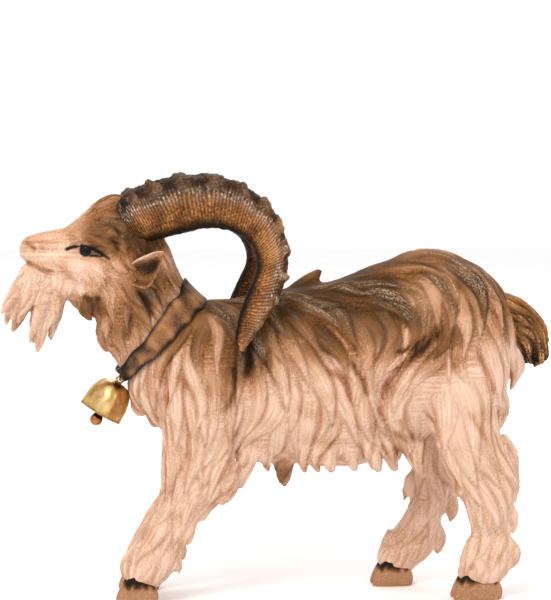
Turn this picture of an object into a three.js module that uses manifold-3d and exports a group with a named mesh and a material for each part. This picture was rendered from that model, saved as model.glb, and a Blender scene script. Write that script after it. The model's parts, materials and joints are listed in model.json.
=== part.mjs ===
// Carved billy goat with a bell: a glued-up maple figure for a crib or a mantelpiece.
// The trunk is one block. The head with its neck, both horns, both ears, the tail and the four legs are
// separate blanks, each butted or seated on its neighbour and held by a beech dowel and glue. A strap
// covers the neck joint, and a brass staple in the strap carries a gilded bell with a loose clapper.
// Millimetres, +Z up, head towards -X, the goat's left side towards -Y, hooves on Z = 0.
import * as THREE from "three";
import { LoftGeometry } from "three/addons/geometries/LoftGeometry.js";
import { mergeVertices } from "three/addons/utils/BufferGeometryUtils.js";
import Module from "manifold-3d";

// ---- Driving dimensions, mm and degrees ----

const trunkLength = 93.4; // chest to rump
const legHeight = 33; // sole to the leg joints under the trunk
const bodyWidth = 30.6; // across the barrel

const glueGap = 0.3; // glue line between two blanks
const dowelClearance = 0.3; // radial gap in a dowel's bore
const legDowel = { radius: 1.5, length: 11 };
const neckDowel = { radius: 2.4, length: 17 };
const hornDowel = { radius: 1.3, length: 9 };
const tailDowel = { radius: 1.2, length: 8 };

const strapThickness = 0.9;
const strapFit = 0.3; // between the strap and the neck
const knobCount = 13; // knobs along the outer edge of a horn
const knobHeight = 0.9;

const toeWidth = 3.4;
const toeCleft = 0.9; // gap between the two toes of a hoof
const hoofHeight = 5.2;

const wireRadius = 0.25; // staple, crown loop and clapper pin
const wireClearance = 0.3; // radial play between a wire and the eye around it
const stapleReach = 0.55; // from the strap's face to the crosspiece's middle
const stapleSpan = 3.4; // between the middles of the staple's two prongs
const stapleDepth = 3.6; // prongs below the strap's face

const bellHeight = 8.2; // shoulder to rim
const bellCrown = 1.7; // half size at the shoulder
const bellMouth = 4.7; // half size at the rim
const bellWall = 0.7;
const bellYaw = 42; // turn of the squarish bell about its own axis
const bellLean = 31; // forward, where its back rests on the chest
const bellRestGap = 0.4; // between the bell's back and the chest
const clapperBall = 1.5;
const clapperStem = 8; // pin to the ball's middle
const clapperWire = 0.25;

// ---- The figure's outline is drawn at nominal size, then stretched to the driving dimensions ----

const nominal = { trunkLength: 93.4, legHeight: 33, bodyWidth: 30.6 };
const barrel = { front: -12, back: 34 }; // the stretch of the barrel that takes up a change in length

function alongBody(x) {
  const share = THREE.MathUtils.clamp((x - barrel.front) / (barrel.back - barrel.front), 0, 1);
  return x + share * (trunkLength - nominal.trunkLength);
}

function aboveGround(z) {
  const stretch = legHeight / nominal.legHeight;
  return z < nominal.legHeight ? z * stretch : z + legHeight - nominal.legHeight;
}

const acrossBody = (y) => (y * bodyWidth) / nominal.bodyWidth;

// A cross-section is two outline points, a and b, in the XZ plane, a sideways place and a half width.
const section = (ax, az, bx, bz, y, half) => ({
  a: new THREE.Vector2(alongBody(ax), aboveGround(az)),
  b: new THREE.Vector2(alongBody(bx), aboveGround(bz)),
  y: acrossBody(y),
  half: acrossBody(half),
});

const trunkSections = [
  section(-34.8, 53, -34.4, 48, 0, 3),
  section(-32.6, 59, -31.2, 45, 0, 7),
  section(-28, 66, -28, 41.5, 0, 10.5),
  section(-20, 70.6, -22, 36.5, 0, 12.5),
  section(-10, 71.2, -12, 33.5, 0, 13.8),
  section(2, 73.4, 2, 32, 0, 14.8),
  section(15, 75.6, 14, 31.4, 0, 15.3),
  section(25.4, 79.8, 25, 32.4, 0, 15.3),
  section(36.6, 82.6, 35.6, 35.6, 0, 15),
  section(47.6, 79.6, 46, 41, 0, 13.5),
  section(54.2, 73.6, 53, 48, 0, 10),
  section(57.6, 66, 57, 54.4, 0, 5),
];

// Strap edges, and the neck joint a quarter of the way up the strap.
const strapLower = section(-17, 71.2, -35.3, 52.7, 0, 9.4);
const strapUpper = section(-21.6, 75.8, -37.3, 55.3, 0, 8.9);
const neckJointShare = 0.25;
const neckJoint = between(strapLower, strapUpper, neckJointShare);

const neckRootSections = [
  section(-8, 69, -28, 42, 0, 11.5),
  section(-13.5, 70, -32.6, 47.6, 0, 10.2),
  strapLower,
  neckJoint,
];
const neckSections = [
  neckJoint,
  strapUpper,
  section(-23.8, 79.6, -41.4, 61.6, 0, 8.4),
  section(-25.8, 84.4, -45, 69, 0, 8),
  section(-30.5, 90, -46, 74, 0, 7.2),
];
const headSections = [
  section(-59.8, 84.6, -59.9, 82.6, 0, 1.6),
  section(-59, 86, -59.3, 80.6, 0, 3.1),
  section(-56.4, 87, -57, 78.8, 0, 3.9),
  section(-52.6, 87.8, -54, 75.2, 0, 4.5),
  section(-49.4, 88.6, -50.5, 72.4, 0, 5.4),
  section(-45.4, 91.8, -47.5, 69.6, 0, 6.7),
  section(-42, 94.6, -43.5, 67.4, 0, 7.8),
  section(-38, 96, -39.5, 67, 0, 8.3),
  section(-33.4, 95, -35, 68, 0, 8.1),
  section(-29.2, 91.5, -30, 71, 0, 6.8),
  section(-26.5, 86, -27, 77, 0, 4),
];

// Horn, along the goat's left side: outer edge, inner edge, sideways place, half width.
const hornSections = [
  section(-39.2, 91.8, -33.2, 84.4, -4.6, 3.4),
  section(-36.8, 95.6, -29.6, 85.2, -4.9, 4.3),
  section(-32, 97.6, -26.2, 86.2, -5.3, 4.4),
  section(-26, 99.4, -22, 87.2, -5.9, 4.4),
  section(-18.8, 100.4, -17.6, 88.2, -6.6, 4.3),
  section(-11.6, 99.4, -13.6, 88.2, -7.5, 4.2),
  section(-6.6, 97, -9.8, 87, -8.6, 4),
  section(-2.2, 93.2, -7.2, 84.8, -9.8, 3.8),
  section(0.6, 88.4, -5.9, 82, -11.2, 3.6),
  section(2, 83, -5.8, 79, -12.6, 3.4),
  section(1.8, 77.2, -7, 75.5, -14, 3.1),
  section(0.2, 71.4, -8.5, 71.4, -15, 2.7),
  section(-2.2, 66.6, -9.3, 67, -15.6, 2.2),
  section(-4.7, 62.8, -8.9, 63, -16, 1.6),
  section(-6.2, 60.6, -7.8, 60.9, -16.2, 0.8),
];

const earSections = [
  section(-36, 80.6, -35, 76.6, -6, 1.5),
  section(-33.2, 81.8, -33.2, 75.6, -8, 1.3),
  section(-30.2, 82.6, -30.9, 76, -9.4, 1.1),
  section(-28, 83, -28.5, 79.2, -10.4, 0.8),
  section(-26.7, 83.2, -27, 82, -10.9, 0.45),
];

const tailSections = [
  section(50, 73, 49, 61.5, 0, 4.8),
  section(56.8, 72, 55.5, 58.6, 0, 4.8),
  section(61.8, 69, 59.6, 57, 0, 4.4),
  section(65, 64.8, 62, 55.4, 0, 3.6),
  section(65.7, 60, 62.8, 54.8, 0, 2.5),
  section(65.2, 56.4, 63.6, 54.8, 0, 1.2),
];

// Each leg: the lobe of shoulder or haunch that belongs to the trunk, the leg below it, and the hoof.
// The last section of a lobe is the joint. Points a and b are the leg's front and back.
const legs = {
  front_left: {
    lobe: [
      section(-25.6, 58, -12, 58, -7, 5.5),
      section(-27.2, 48, -10.5, 47, -8.2, 6),
      section(-27.4, 40.5, -10.6, 39, -8.8, 5.4),
      section(-27.4, 35.6, -11, 33.6, -9, 5),
    ],
    shank: [
      section(-27.75, 30, -12.35, 28, -9, 4.6),
      section(-28.45, 24.8, -14.75, 23.4, -9, 4.2),
      section(-30.3, 20.6, -18.9, 19.6, -9, 3.9),
      section(-32.9, 16.4, -21.7, 15.8, -9, 3.8),
      section(-35.2, 12.6, -23.1, 12, -9, 3.9),
      section(-36.5, 9.4, -23.7, 8.8, -9, 4.2),
      section(-36.8, 5.6, -28.9, 3.4, -9, 3.7),
    ],
    hoof: { toe: -38.7, heel: -29.1 },
  },
  front_right: {
    lobe: [
      section(-24.6, 58, -12, 58, 7, 5.5),
      section(-25.6, 48, -10.5, 47, 8.2, 6),
      section(-25.8, 40.5, -10.8, 39, 8.8, 5.4),
      section(-25.8, 35.6, -11.4, 33.6, 9, 5),
    ],
    shank: [
      section(-25.95, 30, -13.35, 28, 9, 4.5),
      section(-26.95, 24.8, -16.15, 23.6, 9, 4.2),
      section(-28.9, 20.6, -18.9, 19.6, 9, 3.9),
      section(-31.7, 16.4, -21.5, 15.8, 9, 3.8),
      section(-33.8, 12.6, -22.9, 12, 9, 3.9),
      section(-35.1, 9.4, -23.5, 8.8, 9, 4.2),
      section(-35.4, 5.6, -27.7, 3.4, 9, 3.7),
    ],
    hoof: { toe: -37.3, heel: -27.7 },
  },
  hind_left: {
    lobe: [
      section(39, 64, 55, 64, -6.5, 6),
      section(36.4, 54, 54.6, 53, -8.5, 7),
      section(36, 44, 52, 43, -9.6, 6.6),
      section(37.6, 36, 53.4, 35.6, -10.3, 5.6),
    ],
    shank: [
      section(40.2, 30.6, 56.6, 32, -10.6, 5),
      section(43, 25.4, 57.2, 26.4, -10.8, 4.4),
      section(45.2, 20.4, 55.2, 20.8, -10.9, 3.9),
      section(46.2, 15.2, 54.8, 15.4, -10.9, 3.7),
      section(45.4, 11.4, 55.8, 11.4, -11, 3.9),
      section(43.6, 8.2, 56.4, 8.6, -11, 4.2),
      section(43, 5.2, 52.4, 3, -11, 3.7),
    ],
    hoof: { toe: 41.2, heel: 52.8 },
  },
  hind_right: {
    lobe: [
      section(36.4, 64, 53, 64, 6.5, 6),
      section(34, 54, 52, 52, 8, 7),
      section(32.6, 44, 50, 42, 8.8, 6.4),
      section(33.8, 36, 50, 34.6, 9.3, 5.6),
    ],
    shank: [
      section(34.95, 30, 48.95, 30, 9.4, 5),
      section(35.35, 25, 47.15, 25, 9.4, 4.4),
      section(34.1, 20, 43.9, 20.4, 9.4, 4),
      section(31.1, 14.6, 41.9, 15.2, 9.4, 3.8),
      section(28.1, 10.4, 40.7, 10.2, 9.4, 4),
      section(26.3, 7.6, 38.3, 6.6, 9.4, 4.1),
      section(26.5, 5, 34.3, 2.8, 9.4, 3.7),
    ],
    hoof: { toe: 24.7, heel: 34.5 },
  },
};

// Locks of hair that stand clear of a block: a path of x, y, z points and the thickness at its root.
const lock = (points, thick) => ({ points, thick });
const trunkLocks = [
  lock([[3, 1, 72], [7, 1.5, 74.6], [10.2, 2, 76.8]], 4.6), // withers
  lock([[1, 0, 35], [2, 0, 31], [2.2, 0, 26.4]], 5),
  lock([[-31.8, -1, 52], [-32.2, -1.2, 48.6], [-31, -1.4, 45.4]], 4),
  lock([[-29, 2, 48], [-29.6, 2.2, 44.6], [-28.4, 2.4, 42]], 4),
  lock([[-6.6, -8, 36], [-8.2, -9, 31], [-9.6, -9.4, 26.6]], 4.4),
  ...[-2.6, 5.2, 12.4, 21.8, 27.4].flatMap((x) =>
    [-1, 1].map((side) =>
      lock([[x - 1, side * 8.6, 38], [x, side * 9, 34], [x + 0.4, side * 8.4, 30.4]], 5),
    ),
  ),
];
const beardLocks = [
  lock([[-54.5, -1, 80], [-60, -1.2, 75], [-65.2, -1.2, 68.2]], 6),
  lock([[-54, 1.4, 78], [-58.8, 1.4, 71.4], [-62.6, 1.2, 63.6]], 6),
  lock([[-52, -0.8, 78], [-54.6, -1, 69.4], [-56.4, -0.8, 59.4]], 6.4),
  lock([[-50.6, 1.4, 76], [-52.4, 1.2, 68.6], [-53, 0.8, 62.6]], 5),
];
const throatLocks = [
  lock([[-43, -2, 71], [-46.2, -2.2, 69.4], [-44.4, -2.4, 66.8]], 3.4),
  lock([[-40.4, 1, 66], [-42.2, 1, 63], [-41.6, 1, 60]], 3.4),
];

// ---- Solids ----

const wasm = await Module();
wasm.setup();

function between(p, q, share) {
  return {
    a: p.a.clone().lerp(q.a, share),
    b: p.b.clone().lerp(q.b, share),
    y: THREE.MathUtils.lerp(p.y, q.y, share),
    half: THREE.MathUtils.lerp(p.half, q.half, share),
  };
}

// A section that stands off by a gap on every side.
function grown(s, gap) {
  const out = s.a.clone().sub(s.b).setLength(gap);
  return { a: s.a.clone().add(out), b: s.b.clone().sub(out), y: s.y, half: s.half + gap };
}

// Moves a whole section along the middle line of a loft.
function shifted(s, towards, distance) {
  const step = towards.a.clone().add(towards.b).sub(s.a).sub(s.b).setLength(distance);
  return { ...s, a: s.a.clone().add(step), b: s.b.clone().add(step) };
}

// Smooth values through the given ones: each outline follows a Catmull-Rom curve.
function smooth(sections, count) {
  const through = (pick) => new THREE.CatmullRomCurve3(sections.map(pick), false, "centripetal");
  const a = through((s) => new THREE.Vector3(s.a.x, s.y, s.a.y));
  const b = through((s) => new THREE.Vector3(s.b.x, s.half, s.b.y));
  return Array.from({ length: count }, (_, i) => {
    const p = a.getPoint(i / (count - 1));
    const q = b.getPoint(i / (count - 1));
    return { a: new THREE.Vector2(p.x, p.z), b: new THREE.Vector2(q.x, q.z), y: p.y, half: q.y };
  });
}

// Points around one section: an ellipse with a squareness, turning so that the faces point outwards.
function ring(s, turn, around, squareness) {
  const middle = s.a.clone().add(s.b).multiplyScalar(0.5);
  const arm = s.a.clone().sub(s.b).multiplyScalar(0.5);
  const soften = (v) => Math.sign(v) * Math.abs(v) ** squareness;
  return Array.from({ length: around }, (_, i) => {
    const angle = (2 * Math.PI * i) / around;
    const u = soften(Math.cos(angle));
    const v = soften(Math.sin(angle)) * turn;
    return new THREE.Vector3(middle.x + arm.x * u, s.y + s.half * v, middle.y + arm.y * u);
  });
}

// Positive where the arm from b to a lies clockwise of the way that the loft runs.
function turnOf(s, next) {
  const arm = s.a.clone().sub(s.b);
  const ahead = next.a.clone().add(next.b).sub(s.a).sub(s.b);
  return arm.cross(ahead);
}

// A closed solid through the sections. Knobs swell its outer edge in turn along its length.
function loft(sections, { count = sections.length * 2, around = 20, squareness = 0.92, knobs = 0 } = {}) {
  const all = smooth(sections, count);
  const turn = Math.sign(all.slice(1).reduce((sum, s, i) => sum + turnOf(all[i], s), 0));
  const points = all.map((s, i) => {
    const bump = knobs * Math.max(0, Math.sin((Math.PI * 2 * knobCount * i) / (count - 1)));
    const out = s.a.clone().sub(s.b).setLength(bump);
    return ring({ ...s, a: s.a.clone().add(out) }, turn, around, squareness);
  });
  return solidOf(new LoftGeometry(points, { capStart: true, capEnd: true }));
}

// A tapering lock of hair along a smooth path, round at the root and pointed at the tip.
function hairLock({ points, thick }) {
  const placed = points.map(([x, y, z]) => new THREE.Vector3(alongBody(x), acrossBody(y), aboveGround(z)));
  return taper(placed, thick / 2, 0.3, 5, 7);
}

function taper(path, rootRadius, tipRadius, count, around) {
  const curve = new THREE.CatmullRomCurve3(path);
  const frames = curve.computeFrenetFrames(count - 1, false);
  const points = Array.from({ length: count }, (_, i) => {
    const radius = THREE.MathUtils.lerp(rootRadius, tipRadius, (i / (count - 1)) ** 1.4);
    const centre = curve.getPointAt(i / (count - 1));
    return Array.from({ length: around }, (__, k) => {
      const angle = (2 * Math.PI * k) / around;
      return centre
        .clone()
        .addScaledVector(frames.normals[i], Math.cos(angle) * radius)
        .addScaledVector(frames.binormals[i], Math.sin(angle) * radius);
    });
  });
  return solidOf(new LoftGeometry(points, { capStart: true, capEnd: true }));
}

function solidOf(geometry) {
  const bare = geometry.index ? geometry.toNonIndexed() : geometry.clone();
  bare.deleteAttribute("normal");
  bare.deleteAttribute("uv");
  const merged = mergeVertices(bare, 1e-4);
  const mesh = new wasm.Mesh({
    numProp: 3,
    vertProperties: new Float32Array(merged.attributes.position.array),
    triVerts: new Uint32Array(merged.index.array),
  });
  return new wasm.Manifold(mesh);
}

const joined = (...solids) => solids.reduce((whole, s) => whole.add(s));
const cutBy = (solid, ...tools) => tools.reduce((rest, t) => rest.subtract(t), solid);

// The largest body of a solid, without the slivers that a cut leaves beside it.
const mainBody = (solid) => solid.decompose().reduce((big, s) => (s.volume() > big.volume() ? s : big));

// A round bar between two points.
function bar(from, to, radius, sides = 12) {
  const axis = to.clone().sub(from);
  const shape = new THREE.CylinderGeometry(radius, radius, axis.length(), sides);
  const up = new THREE.Vector3(0, 1, 0);
  shape.applyQuaternion(new THREE.Quaternion().setFromUnitVectors(up, axis.clone().normalize()));
  shape.translate(...from.clone().add(to).multiplyScalar(0.5).toArray());
  return solidOf(shape);
}

// A dowel centred on a point, and the bore that it sits in.
function dowelAt(middle, direction, { radius, length }) {
  const half = direction.clone().setLength(length / 2);
  const end = direction.clone().setLength(length / 2 + dowelClearance);
  return {
    pin: bar(middle.clone().sub(half), middle.clone().add(half), radius),
    bore: bar(middle.clone().sub(end), middle.clone().add(end), radius + dowelClearance),
  };
}

const middleOf = (s) => new THREE.Vector3((s.a.x + s.b.x) / 2, s.y, (s.a.y + s.b.y) / 2);
const across = (p, q) => middleOf(q).sub(middleOf(p));
const mirrored = (sections) => sections.map((s) => ({ ...s, y: -s.y }));

// ---- Head, neck and the pieces on them ----

const joints = {};
joints.neck = dowelAt(middleOf(neckJoint), across(strapLower, strapUpper), neckDowel);

const neckAboveJoint = [shifted(neckJoint, strapUpper, glueGap), ...neckSections.slice(1)];
const headBlock = joined(
  loft(headSections, { count: 16, around: 18 }),
  loft(neckAboveJoint, { count: 7, around: 18 }),
  ...beardLocks.map(hairLock),
  ...throatLocks.map(hairLock),
);
const headWithGap = joined(
  loft(headSections.map((s) => grown(s, glueGap)), { count: 16, around: 18 }),
  loft(neckSections.map((s) => grown(s, glueGap)), { count: 7, around: 18 }),
);

const hornSeat = middleOf(hornSections[1]);
const hornRun = across(hornSections[0], hornSections[2]);
const sides = { left: 1, right: -1 };
const horns = {};
const ears = {};
for (const [side, sign] of Object.entries(sides)) {
  const flip = (v) => new THREE.Vector3(v.x, v.y * sign, v.z);
  const onThisSide = (list) => (sign > 0 ? list : mirrored(list));
  joints["horn_" + side] = dowelAt(flip(hornSeat), flip(hornRun), hornDowel);
  const horn = loft(onThisSide(hornSections), { count: 4 * knobCount + 1, around: 8, knobs: knobHeight });
  horns[side] = mainBody(cutBy(horn, headWithGap, joints["horn_" + side].bore));
  ears[side] = mainBody(cutBy(loft(onThisSide(earSections), { count: 7, around: 12 }), headWithGap));
}

// ---- Strap and staple ----

const strapAt = (share, gap) => grown(between(strapLower, strapUpper, share), gap);
const strapOutside = [0, 0.5, 1].map((share) => strapAt(share, strapThickness + strapFit));
const strapInside = [-0.5, 0, 0.5, 1, 1.5].map((share) => strapAt(share, strapFit));

const stapleShare = 0.3; // how far up the strap the staple stands
const throat = between(strapLower, strapUpper, stapleShare);
const outward = new THREE.Vector3(throat.b.x - throat.a.x, 0, throat.b.y - throat.a.y).normalize();
const strapFace = new THREE.Vector3(throat.b.x, 0, throat.b.y);
strapFace.addScaledVector(outward, strapThickness + strapFit);
const pivot = strapFace.clone().addScaledVector(outward, stapleReach);

function prongLine(side, from, to) {
  const along = (distance) => {
    const point = strapFace.clone().addScaledVector(outward, distance);
    point.y = (side * stapleSpan) / 2;
    return point;
  };
  return [along(from), along(to)];
}
const stapleBores = [-1, 1].map((side) => {
  const line = prongLine(side, stapleReach, -stapleDepth - dowelClearance);
  return bar(...line, wireRadius + dowelClearance, 8);
});
const staple = joined(
  bar(
    pivot.clone().setY(-stapleSpan / 2 - wireRadius),
    pivot.clone().setY(stapleSpan / 2 + wireRadius),
    wireRadius,
    10,
  ),
  ...[-1, 1].map((side) => bar(...prongLine(side, stapleReach, -stapleDepth), wireRadius, 8)),
);
const strapRing = cutBy(
  loft(strapOutside, { count: 3, around: 18 }),
  loft(strapInside, { count: 5, around: 18 }),
  ...stapleBores,
);

// ---- Bell and clapper, hung on the staple and leaning on the chest ----

// A square section with rounded corners across the bell's axis: a superellipse of this power.
const bellPower = 3;
function bellRing(depth, half, around = 20) {
  return Array.from({ length: around }, (_, i) => {
    const angle = (-2 * Math.PI * i) / around;
    const u = Math.sign(Math.cos(angle)) * Math.abs(Math.cos(angle)) ** (2 / bellPower) * half;
    const v = Math.sign(Math.sin(angle)) * Math.abs(Math.sin(angle)) ** (2 / bellPower) * half;
    const yaw = THREE.MathUtils.degToRad(bellYaw);
    return new THREE.Vector3(
      u * Math.cos(yaw) - v * Math.sin(yaw),
      u * Math.sin(yaw) + v * Math.cos(yaw),
      -depth,
    );
  });
}

// The bell's profile: how far down from the shoulder to the rim, and how far out from crown to mouth.
const bellProfile = [
  [0, 0],
  [0.06, 0.4],
  [0.2, 0.7],
  [0.42, 0.9],
  [0.7, 0.99],
  [1, 1],
];
const loopRadius = wireRadius + wireClearance + wireRadius; // middle of the crown loop's wire
const shoulder = loopRadius + wireRadius * 0.6; // the loop sinks into the bell's crown
const bellShell = (inset, top, bottom) =>
  solidOf(
    new LoftGeometry(
      bellProfile.map(([down, out]) => {
        const half = THREE.MathUtils.lerp(bellCrown, bellMouth, out) - inset;
        return bellRing(shoulder + top + down * (bellHeight + bottom - top), half);
      }),
      { capStart: true, capEnd: true },
    ),
  );

// How far the bell reaches sideways at a depth below its shoulder.
function bellReach(depth) {
  const i = bellProfile.findIndex(([down]) => down * bellHeight > depth);
  const [[above, outAbove], [below, outBelow]] = [bellProfile[i - 1], bellProfile[i]];
  const out = THREE.MathUtils.mapLinear(depth / bellHeight, above, below, outAbove, outBelow);
  const yaw = THREE.MathUtils.degToRad(bellYaw);
  const corner = (Math.cos(yaw) ** bellPower + Math.sin(yaw) ** bellPower) ** (-1 / bellPower);
  return THREE.MathUtils.lerp(bellCrown, bellMouth, out) * corner;
}

// A ring of wire about the Y axis.
function eye(centreZ, wire = wireRadius, radius = loopRadius) {
  const shape = new THREE.TorusGeometry(radius, wire, 7, 16);
  shape.rotateX(Math.PI / 2);
  shape.translate(0, 0, centreZ);
  return solidOf(shape);
}

const clapperEye = wireRadius + wireClearance + clapperWire;
const clapperPinDrop = shoulder + bellWall + clapperEye + clapperWire + wireClearance;
const pinHalf = bellReach(clapperPinDrop - shoulder) - 0.15;
const clapperPinAt = (radius, reach) => {
  const end = new THREE.Vector3(0, reach, -clapperPinDrop);
  return bar(end.clone().setY(-reach), end, radius, 10);
};
const bell = cutBy(
  joined(bellShell(0, 0, 0), eye(0)),
  bellShell(bellWall, bellWall, 1),
  clapperPinAt(wireRadius + dowelClearance, pinHalf + 1),
);
const clapperPin = clapperPinAt(wireRadius, pinHalf);
const clapperBallGeometry = new THREE.SphereGeometry(clapperBall, 14, 10);
clapperBallGeometry.translate(0, 0, -clapperPinDrop - clapperStem);
const clapper = joined(
  eye(-clapperPinDrop, clapperWire, clapperEye),
  bar(
    new THREE.Vector3(0, 0, -clapperPinDrop - clapperEye),
    new THREE.Vector3(0, 0, -clapperPinDrop - clapperStem),
    clapperWire,
    8,
  ),
  solidOf(clapperBallGeometry),
);

// The bell hangs on the staple and leans forward with its back on the chest.
const hang = new THREE.Group();
hang.position.copy(pivot);
hang.rotation.y = THREE.MathUtils.degToRad(bellLean);
hang.updateMatrix();
const bellRoom = bellShell(-bellRestGap, -bellRestGap, bellRestGap).transform(hang.matrix.elements);
const loopRecess = bar(
  pivot.clone().setY(-wireRadius - dowelClearance),
  pivot.clone().setY(wireRadius + dowelClearance),
  loopRadius + wireRadius + dowelClearance,
  16,
);

// ---- Trunk, legs and tail ----

function toe(hoof, y) {
  const length = alongBody(hoof.heel) - alongBody(hoof.toe);
  const outline = new THREE.Shape();
  outline.moveTo(0, 0);
  outline.lineTo(length, 0);
  outline.quadraticCurveTo(length + 0.9, hoofHeight * 0.35, length - 0.2, hoofHeight * 0.8);
  outline.lineTo(length * 0.3, hoofHeight * 1.25);
  outline.quadraticCurveTo(length * 0.12, hoofHeight * 0.7, 0, 0);
  const bevel = 0.5;
  const shape = new THREE.ExtrudeGeometry(outline, {
    depth: toeWidth - 2 * bevel,
    bevelThickness: bevel,
    bevelSize: bevel,
    bevelOffset: -bevel,
    bevelSegments: 1,
    curveSegments: 4,
  });
  shape.rotateX(Math.PI / 2);
  shape.translate(alongBody(hoof.toe), y + toeWidth / 2 - bevel, 0);
  return solidOf(shape);
}

const legBlocks = {};
const lobes = [];
const bores = [];
for (const [name, { lobe, shank, hoof }] of Object.entries(legs)) {
  const joint = lobe[lobe.length - 1];
  joints["leg_" + name] = dowelAt(middleOf(joint), across(joint, shank[0]), legDowel);
  const below = [shifted(joint, shank[0], glueGap), ...shank];
  const foot = shank[shank.length - 1].y;
  const step = (toeWidth + toeCleft) / 2;
  legBlocks[name] = cutBy(
    joined(loft(below, { count: 12, around: 12 }), toe(hoof, foot - step), toe(hoof, foot + step)),
    joints["leg_" + name].bore,
  );
  lobes.push(loft(lobe, { count: 5, around: 14 }));
  bores.push(joints["leg_" + name].bore);
}

const tailSeat = middleOf(tailSections[1]);
joints.tail = dowelAt(tailSeat, across(tailSections[0], tailSections[2]), tailDowel);
const trunkLoft = (gap) => loft(trunkSections.map((s) => grown(s, gap)), { count: 18, around: 22 });
const neckSpace = loft(
  [shifted(strapLower, neckRootSections[1], glueGap), strapUpper, neckSections[2]].map((s) => grown(s, 6)),
  { count: 5, around: 14 },
);
const trunkBody = cutBy(joined(trunkLoft(0), ...lobes, ...trunkLocks.map(hairLock)), bellRoom);
const trunk = mainBody(
  cutBy(
    joined(cutBy(trunkBody, neckSpace), loft(neckRootSections, { count: 6, around: 18 })),
    joints.neck.bore,
    joints.tail.bore,
    ...bores,
    ...stapleBores,
  ),
);
const tailLoft = loft(tailSections, { count: 9, around: 12 });
const tail = mainBody(cutBy(tailLoft, trunkLoft(glueGap), joints.tail.bore));
const headBores = [joints.neck.bore, joints.horn_left.bore, joints.horn_right.bore];
const head = cutBy(headBlock, ...headBores, ...stapleBores);
const strap = cutBy(strapRing, loopRecess);

// ---- Materials and the assembled figure ----

const material = (color, roughness, metalness = 0) =>
  new THREE.MeshStandardMaterial({ color, roughness, metalness });
const stainedMaple = material(0xd3a27c, 0.62);
const darkMaple = material(0x8a6040, 0.6);
const strapBrown = material(0x5b4230, 0.55);
const beech = material(0xd8b98f, 0.7);
const gilding = material(0xc39a4a, 0.3, 0.9);
const brass = material(0xb08d4a, 0.35, 1);

const figure = new THREE.Group();

// Adds a solid to a group as a named mesh.
function addPiece(group, name, solid, finish) {
  const { numProp, numVert, vertProperties, triVerts } = solid.getMesh();
  const positions = new Float32Array(numVert * 3);
  for (let i = 0; i < numVert; i++) {
    positions.set(vertProperties.subarray(i * numProp, i * numProp + 3), i * 3);
  }
  const geometry = new THREE.BufferGeometry();
  geometry.setAttribute("position", new THREE.BufferAttribute(positions, 3));
  geometry.setIndex(new THREE.BufferAttribute(triVerts, 1));
  geometry.computeVertexNormals();
  const mesh = new THREE.Mesh(geometry, finish);
  mesh.name = name;
  group.add(mesh);
}

addPiece(figure, "trunk", trunk, stainedMaple);
addPiece(figure, "head_and_neck", head, stainedMaple);
for (const side of Object.keys(sides)) {
  addPiece(figure, "horn_" + side, horns[side], darkMaple);
  addPiece(figure, "ear_" + side, ears[side], stainedMaple);
}
addPiece(figure, "tail", tail, darkMaple);
for (const [name, block] of Object.entries(legBlocks)) addPiece(figure, "leg_" + name, block, stainedMaple);
for (const [name, { pin }] of Object.entries(joints)) addPiece(figure, "dowel_" + name, pin, beech);
addPiece(figure, "collar_strap", strap, strapBrown);
addPiece(figure, "bell_staple", staple, brass);
addPiece(hang, "bell", bell, gilding);
addPiece(hang, "clapper_pin", clapperPin, brass);
addPiece(hang, "clapper", clapper, brass);
figure.add(hang);

// The origin is the middle of the footprint of the figure's box, on the surface that it stands on.
const box = new THREE.Box3().setFromObject(figure, true);
figure.position.set(-(box.min.x + box.max.x) / 2, -(box.min.y + box.max.y) / 2, -box.min.z);

export default figure;
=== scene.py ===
import json

import bpy
import numpy as np
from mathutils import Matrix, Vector
from mathutils.bvhtree import BVHTree


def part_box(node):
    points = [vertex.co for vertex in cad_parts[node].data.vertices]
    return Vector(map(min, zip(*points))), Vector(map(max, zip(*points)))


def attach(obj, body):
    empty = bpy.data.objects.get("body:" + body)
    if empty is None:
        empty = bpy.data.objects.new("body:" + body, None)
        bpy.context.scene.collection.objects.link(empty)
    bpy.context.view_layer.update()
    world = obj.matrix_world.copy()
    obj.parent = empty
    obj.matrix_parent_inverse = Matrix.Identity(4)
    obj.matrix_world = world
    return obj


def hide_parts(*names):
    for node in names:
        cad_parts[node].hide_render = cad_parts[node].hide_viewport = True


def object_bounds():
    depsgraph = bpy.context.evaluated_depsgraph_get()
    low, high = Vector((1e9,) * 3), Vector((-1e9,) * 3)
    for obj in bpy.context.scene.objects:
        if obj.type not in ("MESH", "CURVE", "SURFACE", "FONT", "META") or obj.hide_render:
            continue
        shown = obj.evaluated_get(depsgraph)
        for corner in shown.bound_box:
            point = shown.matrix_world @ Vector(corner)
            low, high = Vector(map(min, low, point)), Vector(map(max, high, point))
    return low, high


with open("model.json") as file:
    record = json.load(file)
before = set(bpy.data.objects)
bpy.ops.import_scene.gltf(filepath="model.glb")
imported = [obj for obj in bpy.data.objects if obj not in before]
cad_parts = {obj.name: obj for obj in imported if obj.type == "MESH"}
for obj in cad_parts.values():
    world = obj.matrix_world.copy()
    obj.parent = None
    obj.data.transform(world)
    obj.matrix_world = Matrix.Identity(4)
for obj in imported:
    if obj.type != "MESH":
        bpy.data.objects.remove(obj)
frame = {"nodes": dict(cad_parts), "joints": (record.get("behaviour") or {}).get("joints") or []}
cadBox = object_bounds()
scene = bpy.context.scene

# Shapes are drawn in millimetres beside the middle of the goat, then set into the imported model's box.
drawing = {"lowestX": -65.454, "highestZ": 100.966}
unit = cadBox[1].z / drawing["highestZ"]
shift = np.array([cadBox[0].x / unit - drawing["lowestX"], 0.0, 0.0])


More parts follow.
